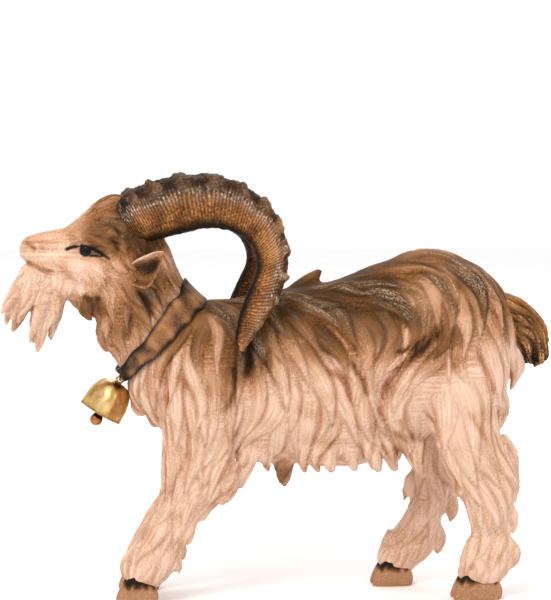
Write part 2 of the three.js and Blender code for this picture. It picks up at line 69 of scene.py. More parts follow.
def smoothRows(rows, count):
    # Catmull-Rom: each value follows the cubic through its neighbours, sampled evenly from first row to last.
    rows = np.asarray(rows, float)
    place = np.linspace(0, len(rows) - 1, count)
    start = np.minimum(place.astype(int), len(rows) - 2)
    part = (place - start)[:, None]
    padded = np.vstack([2 * rows[0] - rows[1], rows, 2 * rows[-1] - rows[-2]])
    p, q, r, s = (padded[start + k] for k in range(4))
    cubic = -p + 3 * q - 3 * r + s
    return 0.5 * (2 * q + (r - p) * part + (2 * p - 5 * q + 4 * r - s) * part**2 + cubic * part**3)


def softened(wave, power):
    # A sine or cosine raised to a power with its sign kept: under 1 squares the ring's corners.
    return np.sign(wave) * np.abs(wave) ** power


def sectionRings(rows, count, around, power=0.92):
    # Rows hold the outline points a and b in XZ, a place y and a half width; a ring is the oval between them.
    rows = smoothRows(rows, count)
    angle = np.linspace(0, 2 * np.pi, around, endpoint=False)
    across, side = softened(np.cos(angle), power), softened(np.sin(angle), power)
    middle, arm = (rows[:, 0:2] + rows[:, 2:4]) / 2, (rows[:, 0:2] - rows[:, 2:4]) / 2
    x = middle[:, :1] + arm[:, :1] * across
    z = middle[:, 1:] + arm[:, 1:] * across
    y = rows[:, 4:5] + rows[:, 5:6] * side
    return np.stack([x, y, z], 2)


def gridQuads(rows, cols, closedRows=False, closedCols=True):
    # Quads over points numbered row by row; a closed way joins its last line to its first.
    rowCount, colCount = rows - (not closedRows), cols - (not closedCols)
    row, col = np.meshgrid(np.arange(rowCount), np.arange(colCount), indexing="ij")
    start, ahead, nextCol = row * cols, (row + 1) % rows * cols, (col + 1) % cols
    return np.stack([start + col, start + nextCol, ahead + nextCol, ahead + col], 2).reshape(-1, 4)


def shellOf(rings):
    # Quads between neighbouring rings and a fan to the middle of each end ring.
    count, around = rings.shape[:2]
    coords = np.vstack([rings.reshape(-1, 3), rings[0].mean(0), rings[-1].mean(0)])
    ring = np.arange(around)
    turned, first, last = (ring + 1) % around, count * around, (count - 1) * around
    startFan = np.stack([turned, ring, np.full(around, first)], 1)
    endFan = np.stack([last + ring, last + turned, np.full(around, first + 1)], 1)
    return facedOut(coords, gridQuads(count, around), np.vstack([startFan, endFan]))


def facedOut(coords, quads, tris):
    # The signed volume is a sixth of the sum of a . (b x c) over the faces; a negative shell is turned.
    allTris = np.vstack([quads[:, [0, 1, 2]], quads[:, [0, 2, 3]], tris])
    a, b, c = (coords[allTris[:, k]] for k in range(3))
    if np.einsum("ij,ij->i", a, np.cross(b, c)).sum() < 0:
        quads, tris = quads[:, ::-1], tris[:, ::-1]
    return coords, quads, tris


def sweptRings(path, radius, count, around):
    # Circles of a changing radius carried along a smooth path, square to it.
    line = smoothRows(path, count)
    ahead = np.gradient(line, axis=0)
    ahead /= np.linalg.norm(ahead, axis=1, keepdims=True)
    helper = np.array([0.0, 1.0, 0.0]) if abs(ahead[0, 1]) < 0.8 else np.array([1.0, 0.0, 0.0])
    side = np.cross(ahead, helper)
    side /= np.linalg.norm(side, axis=1, keepdims=True)
    up = np.cross(side, ahead)
    angle = np.linspace(0, 2 * np.pi, around, endpoint=False)[None, :, None]
    r = np.broadcast_to(radius, count)[:, None, None]
    return line[:, None] + r * (np.cos(angle) * side[:, None] + np.sin(angle) * up[:, None])


def hairTuft(points, thick):
    # A round tapering lock: the radius falls from half the thickness to a point along the path.
    count, around, tip = 14, 12, 0.06
    share = np.linspace(0, 1, count)
    radius = thick / 2 * (1 - share**1.5) ** 0.75 + tip
    return shellOf(sweptRings(points, radius, count, around))


def tuftShells(part):
    return [hairTuft(points, thick) for points, thick in part["tufts"]]


def joinShells(shells):
    # Stacks several shells as one set of points and faces.
    coords, quads, tris, base = [], [], [], 0
    for c, q, t in shells:
        coords.append(c)
        quads.append(q + base)
        tris.append(t + base)
        base += len(c)
    return np.vstack(coords), np.vstack(quads), np.vstack(tris)


def meshOf(name, coords, quads, tris):
    mesh = bpy.data.meshes.new(name)
    mesh.vertices.add(len(coords))
    mesh.vertices.foreach_set("co", np.ascontiguousarray(coords, np.float32).ravel())
    corners = np.concatenate([np.ravel(quads), np.ravel(tris)]).astype(np.int32)
    starts = np.concatenate([np.arange(len(quads)) * 4, len(quads) * 4 + np.arange(len(tris)) * 3])
    mesh.loops.add(len(corners))
    mesh.loops.foreach_set("vertex_index", corners)
    mesh.polygons.add(len(starts))
    mesh.polygons.foreach_set("loop_start", starts.astype(np.int32))
    mesh.polygons.foreach_set("use_smooth", np.ones(len(starts), bool))
    mesh.update(calc_edges=True)
    mesh.validate()
    return mesh


def melded(shells, grain):
    # The outer skin of overlapping shells, cut to one volume in cubes of the grain's size.
    mesh = meshOf("rough", *joinShells(shells))
    rough = bpy.data.objects.new("rough", mesh)
    scene.collection.objects.link(rough)
    remesh = rough.modifiers.new("cut", "REMESH")
    remesh.mode = "VOXEL"
    remesh.voxel_size = grain
    done = bpy.data.meshes.new_from_object(rough.evaluated_get(bpy.context.evaluated_depsgraph_get()))
    coords = np.empty(len(done.vertices) * 3, np.float32)
    done.vertices.foreach_get("co", coords)
    corners = np.empty(len(done.loops), np.int32)
    done.loops.foreach_get("vertex_index", corners)
    quads = corners.reshape(-1, 4)
    bpy.data.objects.remove(rough)
    bpy.data.meshes.remove(mesh)
    bpy.data.meshes.remove(done)
    return coords.reshape(-1, 3).astype(float), quads


def edgePairs(quads):
    sides = np.vstack([quads[:, [0, 1]], quads[:, [1, 2]], quads[:, [2, 3]], quads[:, [3, 0]]])
    return np.unique(np.sort(sides, 1), axis=0)


def spreadOut(values, pairs, count, amount=0.5):
    # Laplacian smoothing: each value moves part of the way to the mean of its neighbours.
    values = np.array(values, float)
    flat = values.reshape(len(values), -1)
    a, b = pairs[:, 0], pairs[:, 1]
    degree = np.bincount(a, minlength=len(flat)) + np.bincount(b, minlength=len(flat))
    for step in range(count):
        columns = [(flat[a, k], flat[b, k]) for k in range(flat.shape[1])]
        total = np.stack([np.bincount(a, q, len(flat)) + np.bincount(b, p, len(flat)) for p, q in columns], 1)
        flat = flat + amount * (total / np.maximum(degree, 1)[:, None] - flat)
    return flat.reshape(values.shape)


def normalsOf(coords, quads):
    # Each corner's normal is the sum of its faces' diagonals' cross products.
    facing = np.cross(coords[quads[:, 2]] - coords[quads[:, 0]], coords[quads[:, 3]] - coords[quads[:, 1]])
    total = np.zeros_like(coords)
    for k in range(4):
        for axis in range(3):
            total[:, axis] += np.bincount(quads[:, k], facing[:, axis], len(coords))
    return total / np.maximum(np.linalg.norm(total, axis=1, keepdims=True), 1e-9)


def ramp(low, high, value):
    # Smoothstep: 0 below low, 1 above high, and 3t^2 - 2t^3 between.
    t = np.clip((value - low) / (high - low), 0, 1)
    return t * t * (3 - 2 * t)


def patches(coords, size, seed):
    # Soft three-dimensional blotches from -1 to 1: the mean of sine waves in random directions.
    dice = np.random.default_rng(seed)
    total = np.zeros(len(coords))
    for k in range(7):
        way = dice.normal(size=3)
        way /= np.linalg.norm(way)
        stretch = dice.uniform(0.7, 1.5)
        total += np.sin(coords @ way * 2 * np.pi / size * stretch + dice.uniform(0, 6.28))
    return total / 3.2


def lineDistance(coords, line):
    # Distance in the side view from each point to a bent line, and how far along it the nearest place is.
    line = np.asarray(line, float)
    a, step = line[:-1], np.diff(line, axis=0)
    flat = coords[:, [0, 2]]
    best, along = np.full(len(flat), 1e9), np.zeros(len(flat))
    for k in range(len(step)):
        t = np.clip(((flat - a[k]) @ step[k]) / (step[k] @ step[k]), 0, 1)
        gap = np.linalg.norm(flat - a[k] - t[:, None] * step[k], axis=1)
        nearer = gap < best
        best[nearer], along[nearer] = gap[nearer], (k + t[nearer]) / len(step)
    return best, along


def combed(lines):
    # Places and directions along the given lines, a place about every 1.5 mm.
    places, ways = [], []
    for line in lines:
        line = np.asarray(line, float)
        fine = smoothRows(line, max(4, int(np.linalg.norm(np.diff(line, axis=0), axis=1).sum() / 1.5)))
        places.append((fine[1:] + fine[:-1]) / 2)
        ways.append(np.diff(fine, axis=0) / np.linalg.norm(np.diff(fine, axis=0), axis=1, keepdims=True))
    return np.vstack(places), np.vstack(ways)


def flowAt(point, normal, comb, reach, drift):
    # The combed direction near a place in the side view, laid into the surface; off the comb it is the drift.
    places, ways = comb
    weight = np.exp(-((places - point[[0, 2]]) ** 2).sum(1) / (2 * reach**2))
    way = weight @ ways + 0.06 * np.asarray(drift)
    way = way / np.linalg.norm(way)
    side = 1.0 if point[1] >= 0 else -1.0
    spread = np.array([way[0], 0.35 * side * max(0.0, normal[2]), way[1]])
    spread -= normal * (spread @ normal)
    size = np.linalg.norm(spread)
    return spread / size if size > 1e-6 else np.array([1.0, 0, 0])


def regionAt(point, regions):
    # Half width, length and height of the locks, averaged from the named regions with Gaussian weights.
    table = np.array([r[1:] for r in regions])
    away = (table[:, 0] - point[0]) ** 2 + (table[:, 1] - point[2]) ** 2
    weight = np.exp(-away / (2 * table[:, 2] ** 2)) + 1e-12
    return (weight @ table[:, 3:]) / weight.sum()


def growHair(coords, normals, tree, hair):
    # Paints overlapping leaf-shaped locks from the lowest to the highest. Each has V-cut edges, a crowned top
    # that rises towards its tip, and strands that close up with it:
    # height = lift(s) * (1 - |q|^2.4)^0.8 + ripple, with s along the lock and q across it.
    dice = np.random.default_rng(hair["seed"])
    comb = combed(hair["comb"])
    relief = np.zeros(len(coords))
    darkeningAndShade = np.full(len(coords), 0.25)
    tint = np.zeros(len(coords))
    strand = np.stack([0.6 * coords[:, 2], 0.6 * coords[:, 0], np.zeros(len(coords))], 1)
    # In mm: the cells that points are looked up in, the lowest lock grown, and how far off its path one reaches.
    cell, lowest, farthest, steps = 2.5, 0.03, 3.5, 10
    low = coords.min(0) - 1
    box = np.floor((coords - low) / cell).astype(np.int64)
    shape = box.max(0) + 2
    key = (box[:, 0] * shape[1] + box[:, 1]) * shape[2] + box[:, 2]
    order = np.argsort(key, kind="stable")
    sortedKey = key[order]

    tries = dice.permutation(len(coords))[: hair["tries"]]
    roots, rootWays, sizes = [], [], []
    kept = np.empty((0, 3))
    for i in tries:
        size = regionAt(coords[i], hair["regions"])
        if size[2] < lowest:
            continue
        way = flowAt(coords[i], normals[i], comb, hair["reach"], hair["drift"])
        if len(kept):
            gap = kept - coords[i]
            along = gap @ way
            sideways = np.sqrt(np.maximum((gap**2).sum(1) - along**2, 0))
            across, ahead = size[0] * hair["apart"][0], size[1] * hair["apart"][1]
            if ((sideways / across) ** 2 + (along / ahead) ** 2).min() < 1:
                continue
        kept = np.vstack([kept, coords[i]])
        roots.append(i)
        rootWays.append(way)
        sizes.append(size * dice.uniform([0.75, 0.75, 0.7], [1.3, 1.25, 1.25]))
    ranks = np.array([coords[i][2] - hair["lean"] * coords[i][0] for i in roots])
    ranks = ranks + dice.normal(0, 1.2, len(roots))
    for number in np.argsort(ranks):
        i, (halfWidth, length, height) = roots[number], sizes[number]
        place, normal, way = coords[i].copy(), normals[i].copy(), rootWays[number]
        swing, phase = dice.uniform(-0.5, 0.5) * hair["swing"], dice.uniform(0, 6.28)
        path, facing = [place], [normal]
        for step in range(steps):
            way = flowAt(place, normal, comb, hair["reach"], hair["drift"])
            bend = swing * np.cos(step / steps * 5.2 + phase)
            way = way * np.cos(bend) + np.cross(normal, way) * np.sin(bend)
            found = tree.find_nearest(Vector(place + way * length / steps))
            place, normal = np.array(found[0]), np.array(found[1])
            path.append(place)
            facing.append(normal)
        path, facing = np.array(path), np.array(facing)
        lower = np.floor((path.min(0) - low - halfWidth - 1) / cell).astype(int).clip(0)
        upper = np.minimum(np.floor((path.max(0) - low + halfWidth + 1) / cell).astype(int), shape - 2)
        first, second = (np.arange(lower[k], upper[k] + 1) for k in (0, 1))
        cols = np.add.outer(first * shape[1], second).ravel()
        starts = np.searchsorted(sortedKey, cols * shape[2] + lower[2])
        ends = np.searchsorted(sortedKey, cols * shape[2] + upper[2] + 1)
        near = np.concatenate([order[p:q] for p, q in zip(starts, ends) if q > p] or [np.empty(0, int)])
        if not len(near):
            continue
        a, run = path[:-1], np.diff(path, axis=0)
        rel = coords[near][:, None] - a[None]
        t = np.clip((rel * run).sum(2) / np.maximum((run**2).sum(1), 1e-9), 0, 1)
        off = rel - t[..., None] * run
        pick = (off**2).sum(2).argmin(1)
        rows = np.arange(len(near))
        s = (pick + t[rows, pick]) / steps
        off = off[rows, pick]
        up = facing[pick]
        ahead = run[pick] / np.maximum(np.linalg.norm(run[pick], axis=1, keepdims=True), 1e-9)
        rise = (off * up).sum(1)
        gap = np.sqrt(np.maximum((off**2).sum(1) - rise**2, 0))
        q = gap * np.sign((off * np.cross(up, ahead)).sum(1))
        width = halfWidth * np.maximum(1 - ramp(0.3, 1.0, s) ** 1.2, 0.03)
        q = q / width
        edge = np.abs(q)
        inside = (edge < 1.5) & ((normals[near] * up).sum(1) > 0.1) & (np.abs(rise) < farthest)
        near, s, q, edge, width = near[inside], s[inside], q[inside], edge[inside], width[inside]
        soft = np.clip(0.4 / width, 0.12, 0.6)
        cover = (1 - ramp(1 - soft, 1 + soft, edge)) * ramp(0, 0.3, s)
        lines = max(2, round(halfWidth * 2 / hair["strandGap"]))
        ripple = np.cos(np.pi * lines * q + phase + 0.9 * np.sin(s * 6 + phase))
        ripple = ripple * (1 - np.clip(edge, 0, 1) ** 4)
        leaning = 1.0 if np.sin(phase * 7) > -0.4 else -1.0
        lift = height * (0.45 + 0.55 * s) * (1 + 0.3 * leaning * np.clip(q, -1, 1))
        crown = (1 - np.clip(edge, 0, 1) ** 2.4) ** 0.8
        rise = lift * crown - hair["cut"] * height * (1 - crown)
        rise = rise + hair["strandHeight"] * ripple * min(1, height / 0.4)
        relief[near] = relief[near] * (1 - cover) + rise * cover
        weight = ramp(0.05, 0.5, s) * (0.62 + 0.38 * leaning * np.sign(q))
        deep = 0.45 + 0.55 * min(1, height / 0.8)
        dark = deep * (1.0 * ramp(0.5, 1.0, edge) * weight + 0.42 * (0.5 - 0.5 * ripple))
        tint[near] = tint[near] * (1 - cover) + np.clip(dice.normal(), -1.6, 1.6) * cover
        darkeningAndShade[near] = darkeningAndShade[near] * (1 - cover) + dark * cover
        # Painted shadow: just past each lock's edge, towards its tip, the darkening is raised where the lock
        # would shade the surface below it.
        shade = (1 - ramp(1.0, 1.0 + 2.0 * soft, edge)) * ramp(0.3, 0.8, s) * (edge > 1)
        darkeningAndShade[near] = np.maximum(darkeningAndShade[near], 0.75 * deep * shade)
        own = cover > 0.5
        lay = [(q * width)[own] + 7.3 * number, s[own] * length, np.full(own.sum(), number)]
        strand[near[own]] = np.stack(lay, 1)
    print(hair["name"], len(roots), "locks")
    return relief, darkeningAndShade, strand, tint


def roughBlock(name, shells, grain, passes):
    # The shells as one block, its cubes' steps smoothed away.
    coords, quads = melded(shells, grain)
    pairs = edgePairs(quads)
    print(name, "block", len(coords))
    return spreadOut(coords, pairs, passes), quads, pairs


def hairOver(coords, quads, pairs, hair):
    # Grows the hair over a block and softens its relief and its cuts.
    normals = normalsOf(coords, quads)
    tree = BVHTree.FromPolygons(coords.tolist(), quads.tolist())
    relief, darkeningAndShade, strand, tint = growHair(coords, normals, tree, hair)
    return normals, spreadOut(relief, pairs, hair["soften"]), spreadOut(darkeningAndShade, pairs, 1), strand, tint


def linear(code):
    # sRGB hex to linear light: v / 12.92 below 0.04045, else ((v + 0.055) / 1.055) to the power 2.4.
    value = np.array([int(code[k : k + 2], 16) for k in (1, 3, 5)]) / 255
    return (*np.where(value <= 0.04045, value / 12.92, ((value + 0.055) / 1.055) ** 2.4), 1.0)


def addNode(tree, kind, links=None, **settings):
    # One node with its settings; links holds the value or the socket that each of its inputs takes.
    node = tree.nodes.new(kind)
    for key, value in settings.items():
        setattr(node, key, value)
    for key, value in (links or {}).items():
        if isinstance(value, bpy.types.NodeSocket):
            tree.links.new(value, node.inputs[key])
        else:
            node.inputs[key].default_value = value
    return node


def setRamp(node, stops):
    while len(node.color_ramp.elements) < len(stops):
        node.color_ramp.elements.new(0.5)
    for element, (place, code) in zip(node.color_ramp.elements, stops):
        element.position, element.color = place, linear(code)
    return node.outputs["Color"]


def newFinish(name, **shader):
    finish = bpy.data.materials.new(name)
    finish.use_nodes = True
    tree = finish.node_tree
    tree.nodes.clear()
    surface = addNode(tree, "ShaderNodeBsdfPrincipled", shader)
    addNode(tree, "ShaderNodeOutputMaterial", {"Surface": surface.outputs["BSDF"]})
    return finish, tree, surface, addNode(tree, "ShaderNodeTexCoord").outputs["Object"]


def noiseOver(tree, vector, scale, detail=2.0):
    settings = {"Vector": vector, "Scale": scale, "Detail": detail}
    return addNode(tree, "ShaderNodeTexNoise", settings).outputs["Fac"]


def rampOver(tree, value, stops):
    return setRamp(addNode(tree, "ShaderNodeValToRGB", {"Fac": value}), stops)


def plug(tree, surface, sources, height=None, strength=0.0, distance=0.0):
    # Links each source to the surface's socket of that name; a height, if there is one, becomes its bump.
    if height is not None:
        settings = {"Height": height, "Strength": strength, "Distance": distance}
        sources["Normal"] = addNode(tree, "ShaderNodeBump", settings).outputs["Normal"]
    for socket, source in sources.items():
        tree.links.new(source, surface.inputs[socket])


def stainedCarving(name, look):
    # Carved maple, brushed with walnut stain and wiped back: the stain stays dark in the cuts and along the
    # back, thins out over the crowns of the locks, and shows the wood's fine silky pores under a dull wax. The
    # same ramps also turn the painted shade and painted highlight that the pieces' marks carry darker and paler.
    finish, tree, surface, place = newFinish(name, **{"IOR": 1.45, "Specular IOR Level": look["gloss"]})
    kinds = {"stainAndShade": "Fac", "darkeningAndShade": "Fac", "relief": "Fac", "ink": "Fac", "strand": "Vector"}
    read = {}
    for key, kind in kinds.items():
        read[key] = addNode(tree, "ShaderNodeAttribute", attribute_name=key).outputs[kind]
    math = lambda operation, a, b, c=0.0, clamp=False: addNode(
        tree, "ShaderNodeMath", {0: a, 1: b, 2: c}, operation=operation, use_clamp=clamp
    ).outputs[0]
    mix = lambda share, under, over: addNode(
        tree, "ShaderNodeMix", {0: share, 6: under, 7: over}, data_type="RGBA"
    ).outputs[2]
    around = lambda value, depth: math("MULTIPLY_ADD", value, depth, -depth / 2)
    blotch = noiseOver(tree, place, 1 / (look["blotch"] * 0.001), 3.0)
    pores = noiseOver(tree, place, 1 / (look["pores"] * 0.001))
    # Hair strands: narrow across the lock, long with it; widths in mm because the strand attribute is in mm.
    lay = {0: read["strand"], 1: (1 / look["hair"], 1 / look["hairLength"], 3.7)}
    hairs = noiseOver(tree, addNode(tree, "ShaderNodeVectorMath", lay, operation="MULTIPLY").outputs[0], 1.0)
    wiped, streaked = around(blotch, look["blotchDepth"]), around(hairs, look["hairDepth"])
    fine = math("ADD", streaked, around(pores, look["poreDepth"]))
    held = math("ADD", math("ADD", read["stainAndShade"], wiped), fine, clamp=True)
    depth = math("ADD", read["darkeningAndShade"], around(hairs, look["hairCut"]), clamp=True)
    colour = mix(depth, rampOver(tree, held, look["crest"]), rampOver(tree, held, look["cut"]))
    # The dry brush catches only where both a pore's edge and a hair stand up.
    caught = [math("MULTIPLY_ADD", value, 4.0, -1.5, clamp=True) for value in (pores, hairs)]
    tops = math("MULTIPLY", read["relief"], math("MULTIPLY", *caught), clamp=True)
    tops = math("MULTIPLY", tops, look["worn"])
    colour = mix(read["ink"], mix(tops, colour, linear(look["wornColour"])), linear("#06080b"))
    rough = math("MULTIPLY_ADD", pores, 0.2, look["roughness"] - 0.1)
    rough = math("MULTIPLY_ADD", read["ink"], -0.15, rough)
    height = math("ADD", math("MULTIPLY", hairs, 0.65), math("MULTIPLY", pores, 0.35))
    plug(tree, surface, {"Base Color": colour, "Roughness": rough}, height, look["bump"], 0.00016)
    return finish


fur = {
    "gloss": 0.16, "blotch": 7.0, "pores": 0.42, "hair": 0.42, "hairLength": 6.0, "blotchDepth": 0.34,
    "poreDepth": 0.6, "hairDepth": 0.4, "hairCut": 0.7, "worn": 0.55, "wornColour": "#e6c6a6",
    "roughness": 0.66, "bump": 0.8,
    "crest": [(0.0, "#e0c1ac"), (0.3, "#c59674"), (0.6, "#8f5d31"), (1.0, "#4e300e")],
    "cut": [(0.0, "#ae7853"), (0.3, "#744321"), (0.6, "#3a210b"), (1.0, "#160c03")],
}
horn = {
    **fur, "blotch": 5.0, "hairDepth": 0.35, "worn": 0.9, "wornColour": "#e0c9b4", "bump": 0.9,
    "roughness": 0.62, "poreDepth": 1.4, "pores": 0.5,
    "crest": [(0.0, "#c48c56"), (0.3, "#966032"), (0.6, "#6c431d"), (1.0, "#35200a")],
    "cut": [(0.0, "#6e431e"), (0.3, "#4a2c10"), (0.6, "#2a1807"), (1.0, "#120a03")],
}
tailLook = {
    **fur, "hair": 0.5, "worn": 1.0, "wornColour": "#dba46c",
    "crest": [(0.0, "#cf9761"), (0.4, "#9c6838"), (0.7, "#63401e"), (1.0, "#2c1b0b")],
    "cut": [(0.0, "#5c3818"), (0.4, "#2a190a"), (0.7, "#150d05"), (1.0, "#0c0703")],
}
strapLook = {
    **fur, "blotch": 4.0, "blotchDepth": 0.5, "hair": 0.5, "hairLength": 2.5, "hairDepth": 0.25, "worn": 0.6,
    "wornColour": "#b8926f", "roughness": 0.55, "gloss": 0.3,
    "crest": [(0.0, "#aa7648"), (0.4, "#845630"), (0.7, "#563720"), (1.0, "#2a1c12")],
    "cut": [(0.0, "#4c3019"), (0.4, "#2a1a0d"), (0.7, "#170e07"), (1.0, "#0d0804")],
}
bodyWood = stainedCarving("maple, carved, stained and wiped", fur)
hornWood = stainedCarving("maple, carved and stained dark with dry-brushed ridges", horn)
tailWood = stainedCarving("maple, carved and stained walnut", tailLook)
strapWood = stainedCarving("dark stained strap, waxed", strapLook)


def gildedMetal(name, look):
    # Gold leaf laid on the metal and burnished: smooth, with faint laps and pinholes, browner where the pieces'
    # marks darken it; inside the bell that darkening is painted shade.
    finish, tree, surface, place = newFinish(name, **{"Metallic": 1.0})
    laps, pits = noiseOver(tree, place, 420.0, 3.0), noiseOver(tree, place, 2600.0)
    # The darkening read here is painted shade inside the bell, and darker rim and dent hollows.
    worn = addNode(tree, "ShaderNodeAttribute", attribute_name="darkeningAndShade").outputs["Fac"]
    tone = addNode(tree, "ShaderNodeMath", {0: laps, 1: worn, 2: 0.0}, operation="ADD").outputs[0]
    colour = rampOver(tree, tone, look["leaf"])
    least, most = look["rough"]
    rough = addNode(tree, "ShaderNodeMapRange", {0: laps, 3: least, 4: most}).outputs[0]
    height = addNode(tree, "ShaderNodeMath", {0: pits, 1: 0.35, 2: laps}, operation="MULTIPLY_ADD").outputs[0]
    plug(tree, surface, {"Base Color": colour, "Roughness": rough}, height, 0.5, 0.00014)
    return finish


metals = {
    "gold leaf, burnished": {
        "leaf": [(0.25, "#ecd3a0"), (0.6, "#cfa565"), (1.0, "#745228")], "rough": (0.16, 0.34),
    },
    "gold leaf, rubbed to copper": {
        "leaf": [(0.25, "#d9a67c"), (0.6, "#b5764a"), (1.0, "#6b3f22")], "rough": (0.22, 0.42),
    },
    "brass wire, drawn": {
        "leaf": [(0.25, "#dcbb72"), (0.6, "#a8853f"), (1.0, "#5c4318")], "rough": (0.25, 0.45),
    },
}
goldLeaf, copperLeaf, brassWire = (gildedMetal(name, look) for name, look in metals.items())


def turnedBeech(name):
    # Beech dowel, turned: pale pink-brown with short dark flecks along the grain, left bare.
    finish, tree, surface, place = newFinish(name, **{"IOR": 1.45, "Roughness": 0.7})
    fine = noiseOver(tree, place, 1500.0, 3.0)
    colour = rampOver(tree, fine, [(0.35, "#b98a5e"), (0.6, "#dcb78c")])
    plug(tree, surface, {"Base Color": colour}, fine, 0.4, 0.0001)
    return finish


beech = turnedBeech("beech dowel, turned")
for name, node in frame["nodes"].items():
    if name.startswith("dowel"):
        node.data.materials.clear()
        node.data.materials.append(beech)


def finishPiece(name, shell, marks, finish, body, nodes):
    # Puts a shell drawn in millimetres into the frame, with its painted marks as attributes.
    coords, quads, tris = shell
    mesh = meshOf(name, (coords + shift) * unit, quads, tris)
    for key in ("stainAndShade", "darkeningAndShade", "relief", "ink"):
        values = np.zeros(len(coords)) + marks.get(key, 0.0)
        mesh.attributes.new(key, "FLOAT", "POINT").data.foreach_set("value", values.astype(np.float32))
    strand = mesh.attributes.new("strand", "FLOAT_VECTOR", "POINT")
    strand.data.foreach_set("vector", marks.get("strand", coords).astype(np.float32).ravel())
    if "facing" in marks:
        # The skin keeps the normals it had before it was cut, so the joints between its pieces don't shade.
        mesh.normals_split_custom_set_from_vertices(marks["facing"].tolist())
    mesh.materials.append(finish)
    piece = bpy.data.objects.new(name, mesh)
    scene.collection.objects.link(piece)
    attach(piece, body)
    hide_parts(*nodes)
    print(name, len(quads) * 2 + len(tris), "triangles")


noTris = np.empty((0, 3), int)

# The strap lies between two slanted rings round the neck; the hair lies flat under it.
strap = {
    "lower": np.array([-17.2, 70.5, -35.3, 52.7, 0, 9.4]),
    "upper": np.array([-21.9, 75.0, -37.3, 55.3, 0, 8.9]),
    "inside": 0.3, "thick": 0.9,  # mm, its inner face's height off the neck, and its thickness
}


def strapShare(coords):
    # How far a place is up the strap, 0 at its lower edge and 1 at its upper one, and how far back along it.
    low, high = strap["lower"], strap["upper"]
    along = low[:2] - low[2:4]
    along /= np.linalg.norm(along)
    rise = np.array([-along[1], along[0]])
    span = ((high[:2] + high[2:4]) / 2 - (low[:2] + low[2:4]) / 2) @ rise
    return ((coords[:, [0, 2]] - low[:2]) @ rise) / span, (coords[:, [0, 2]] - low[:2]) @ -along


def flattened(coords):
    # 1 in the open and 0 under the strap, fading over its edges.
    share, along = strapShare(coords)
    near = (along > -6) & (along < 34)
    return np.where(near, 1 - ramp(-0.35, 0.0, share) * ramp(1.45, 1.0, share), 1.0)


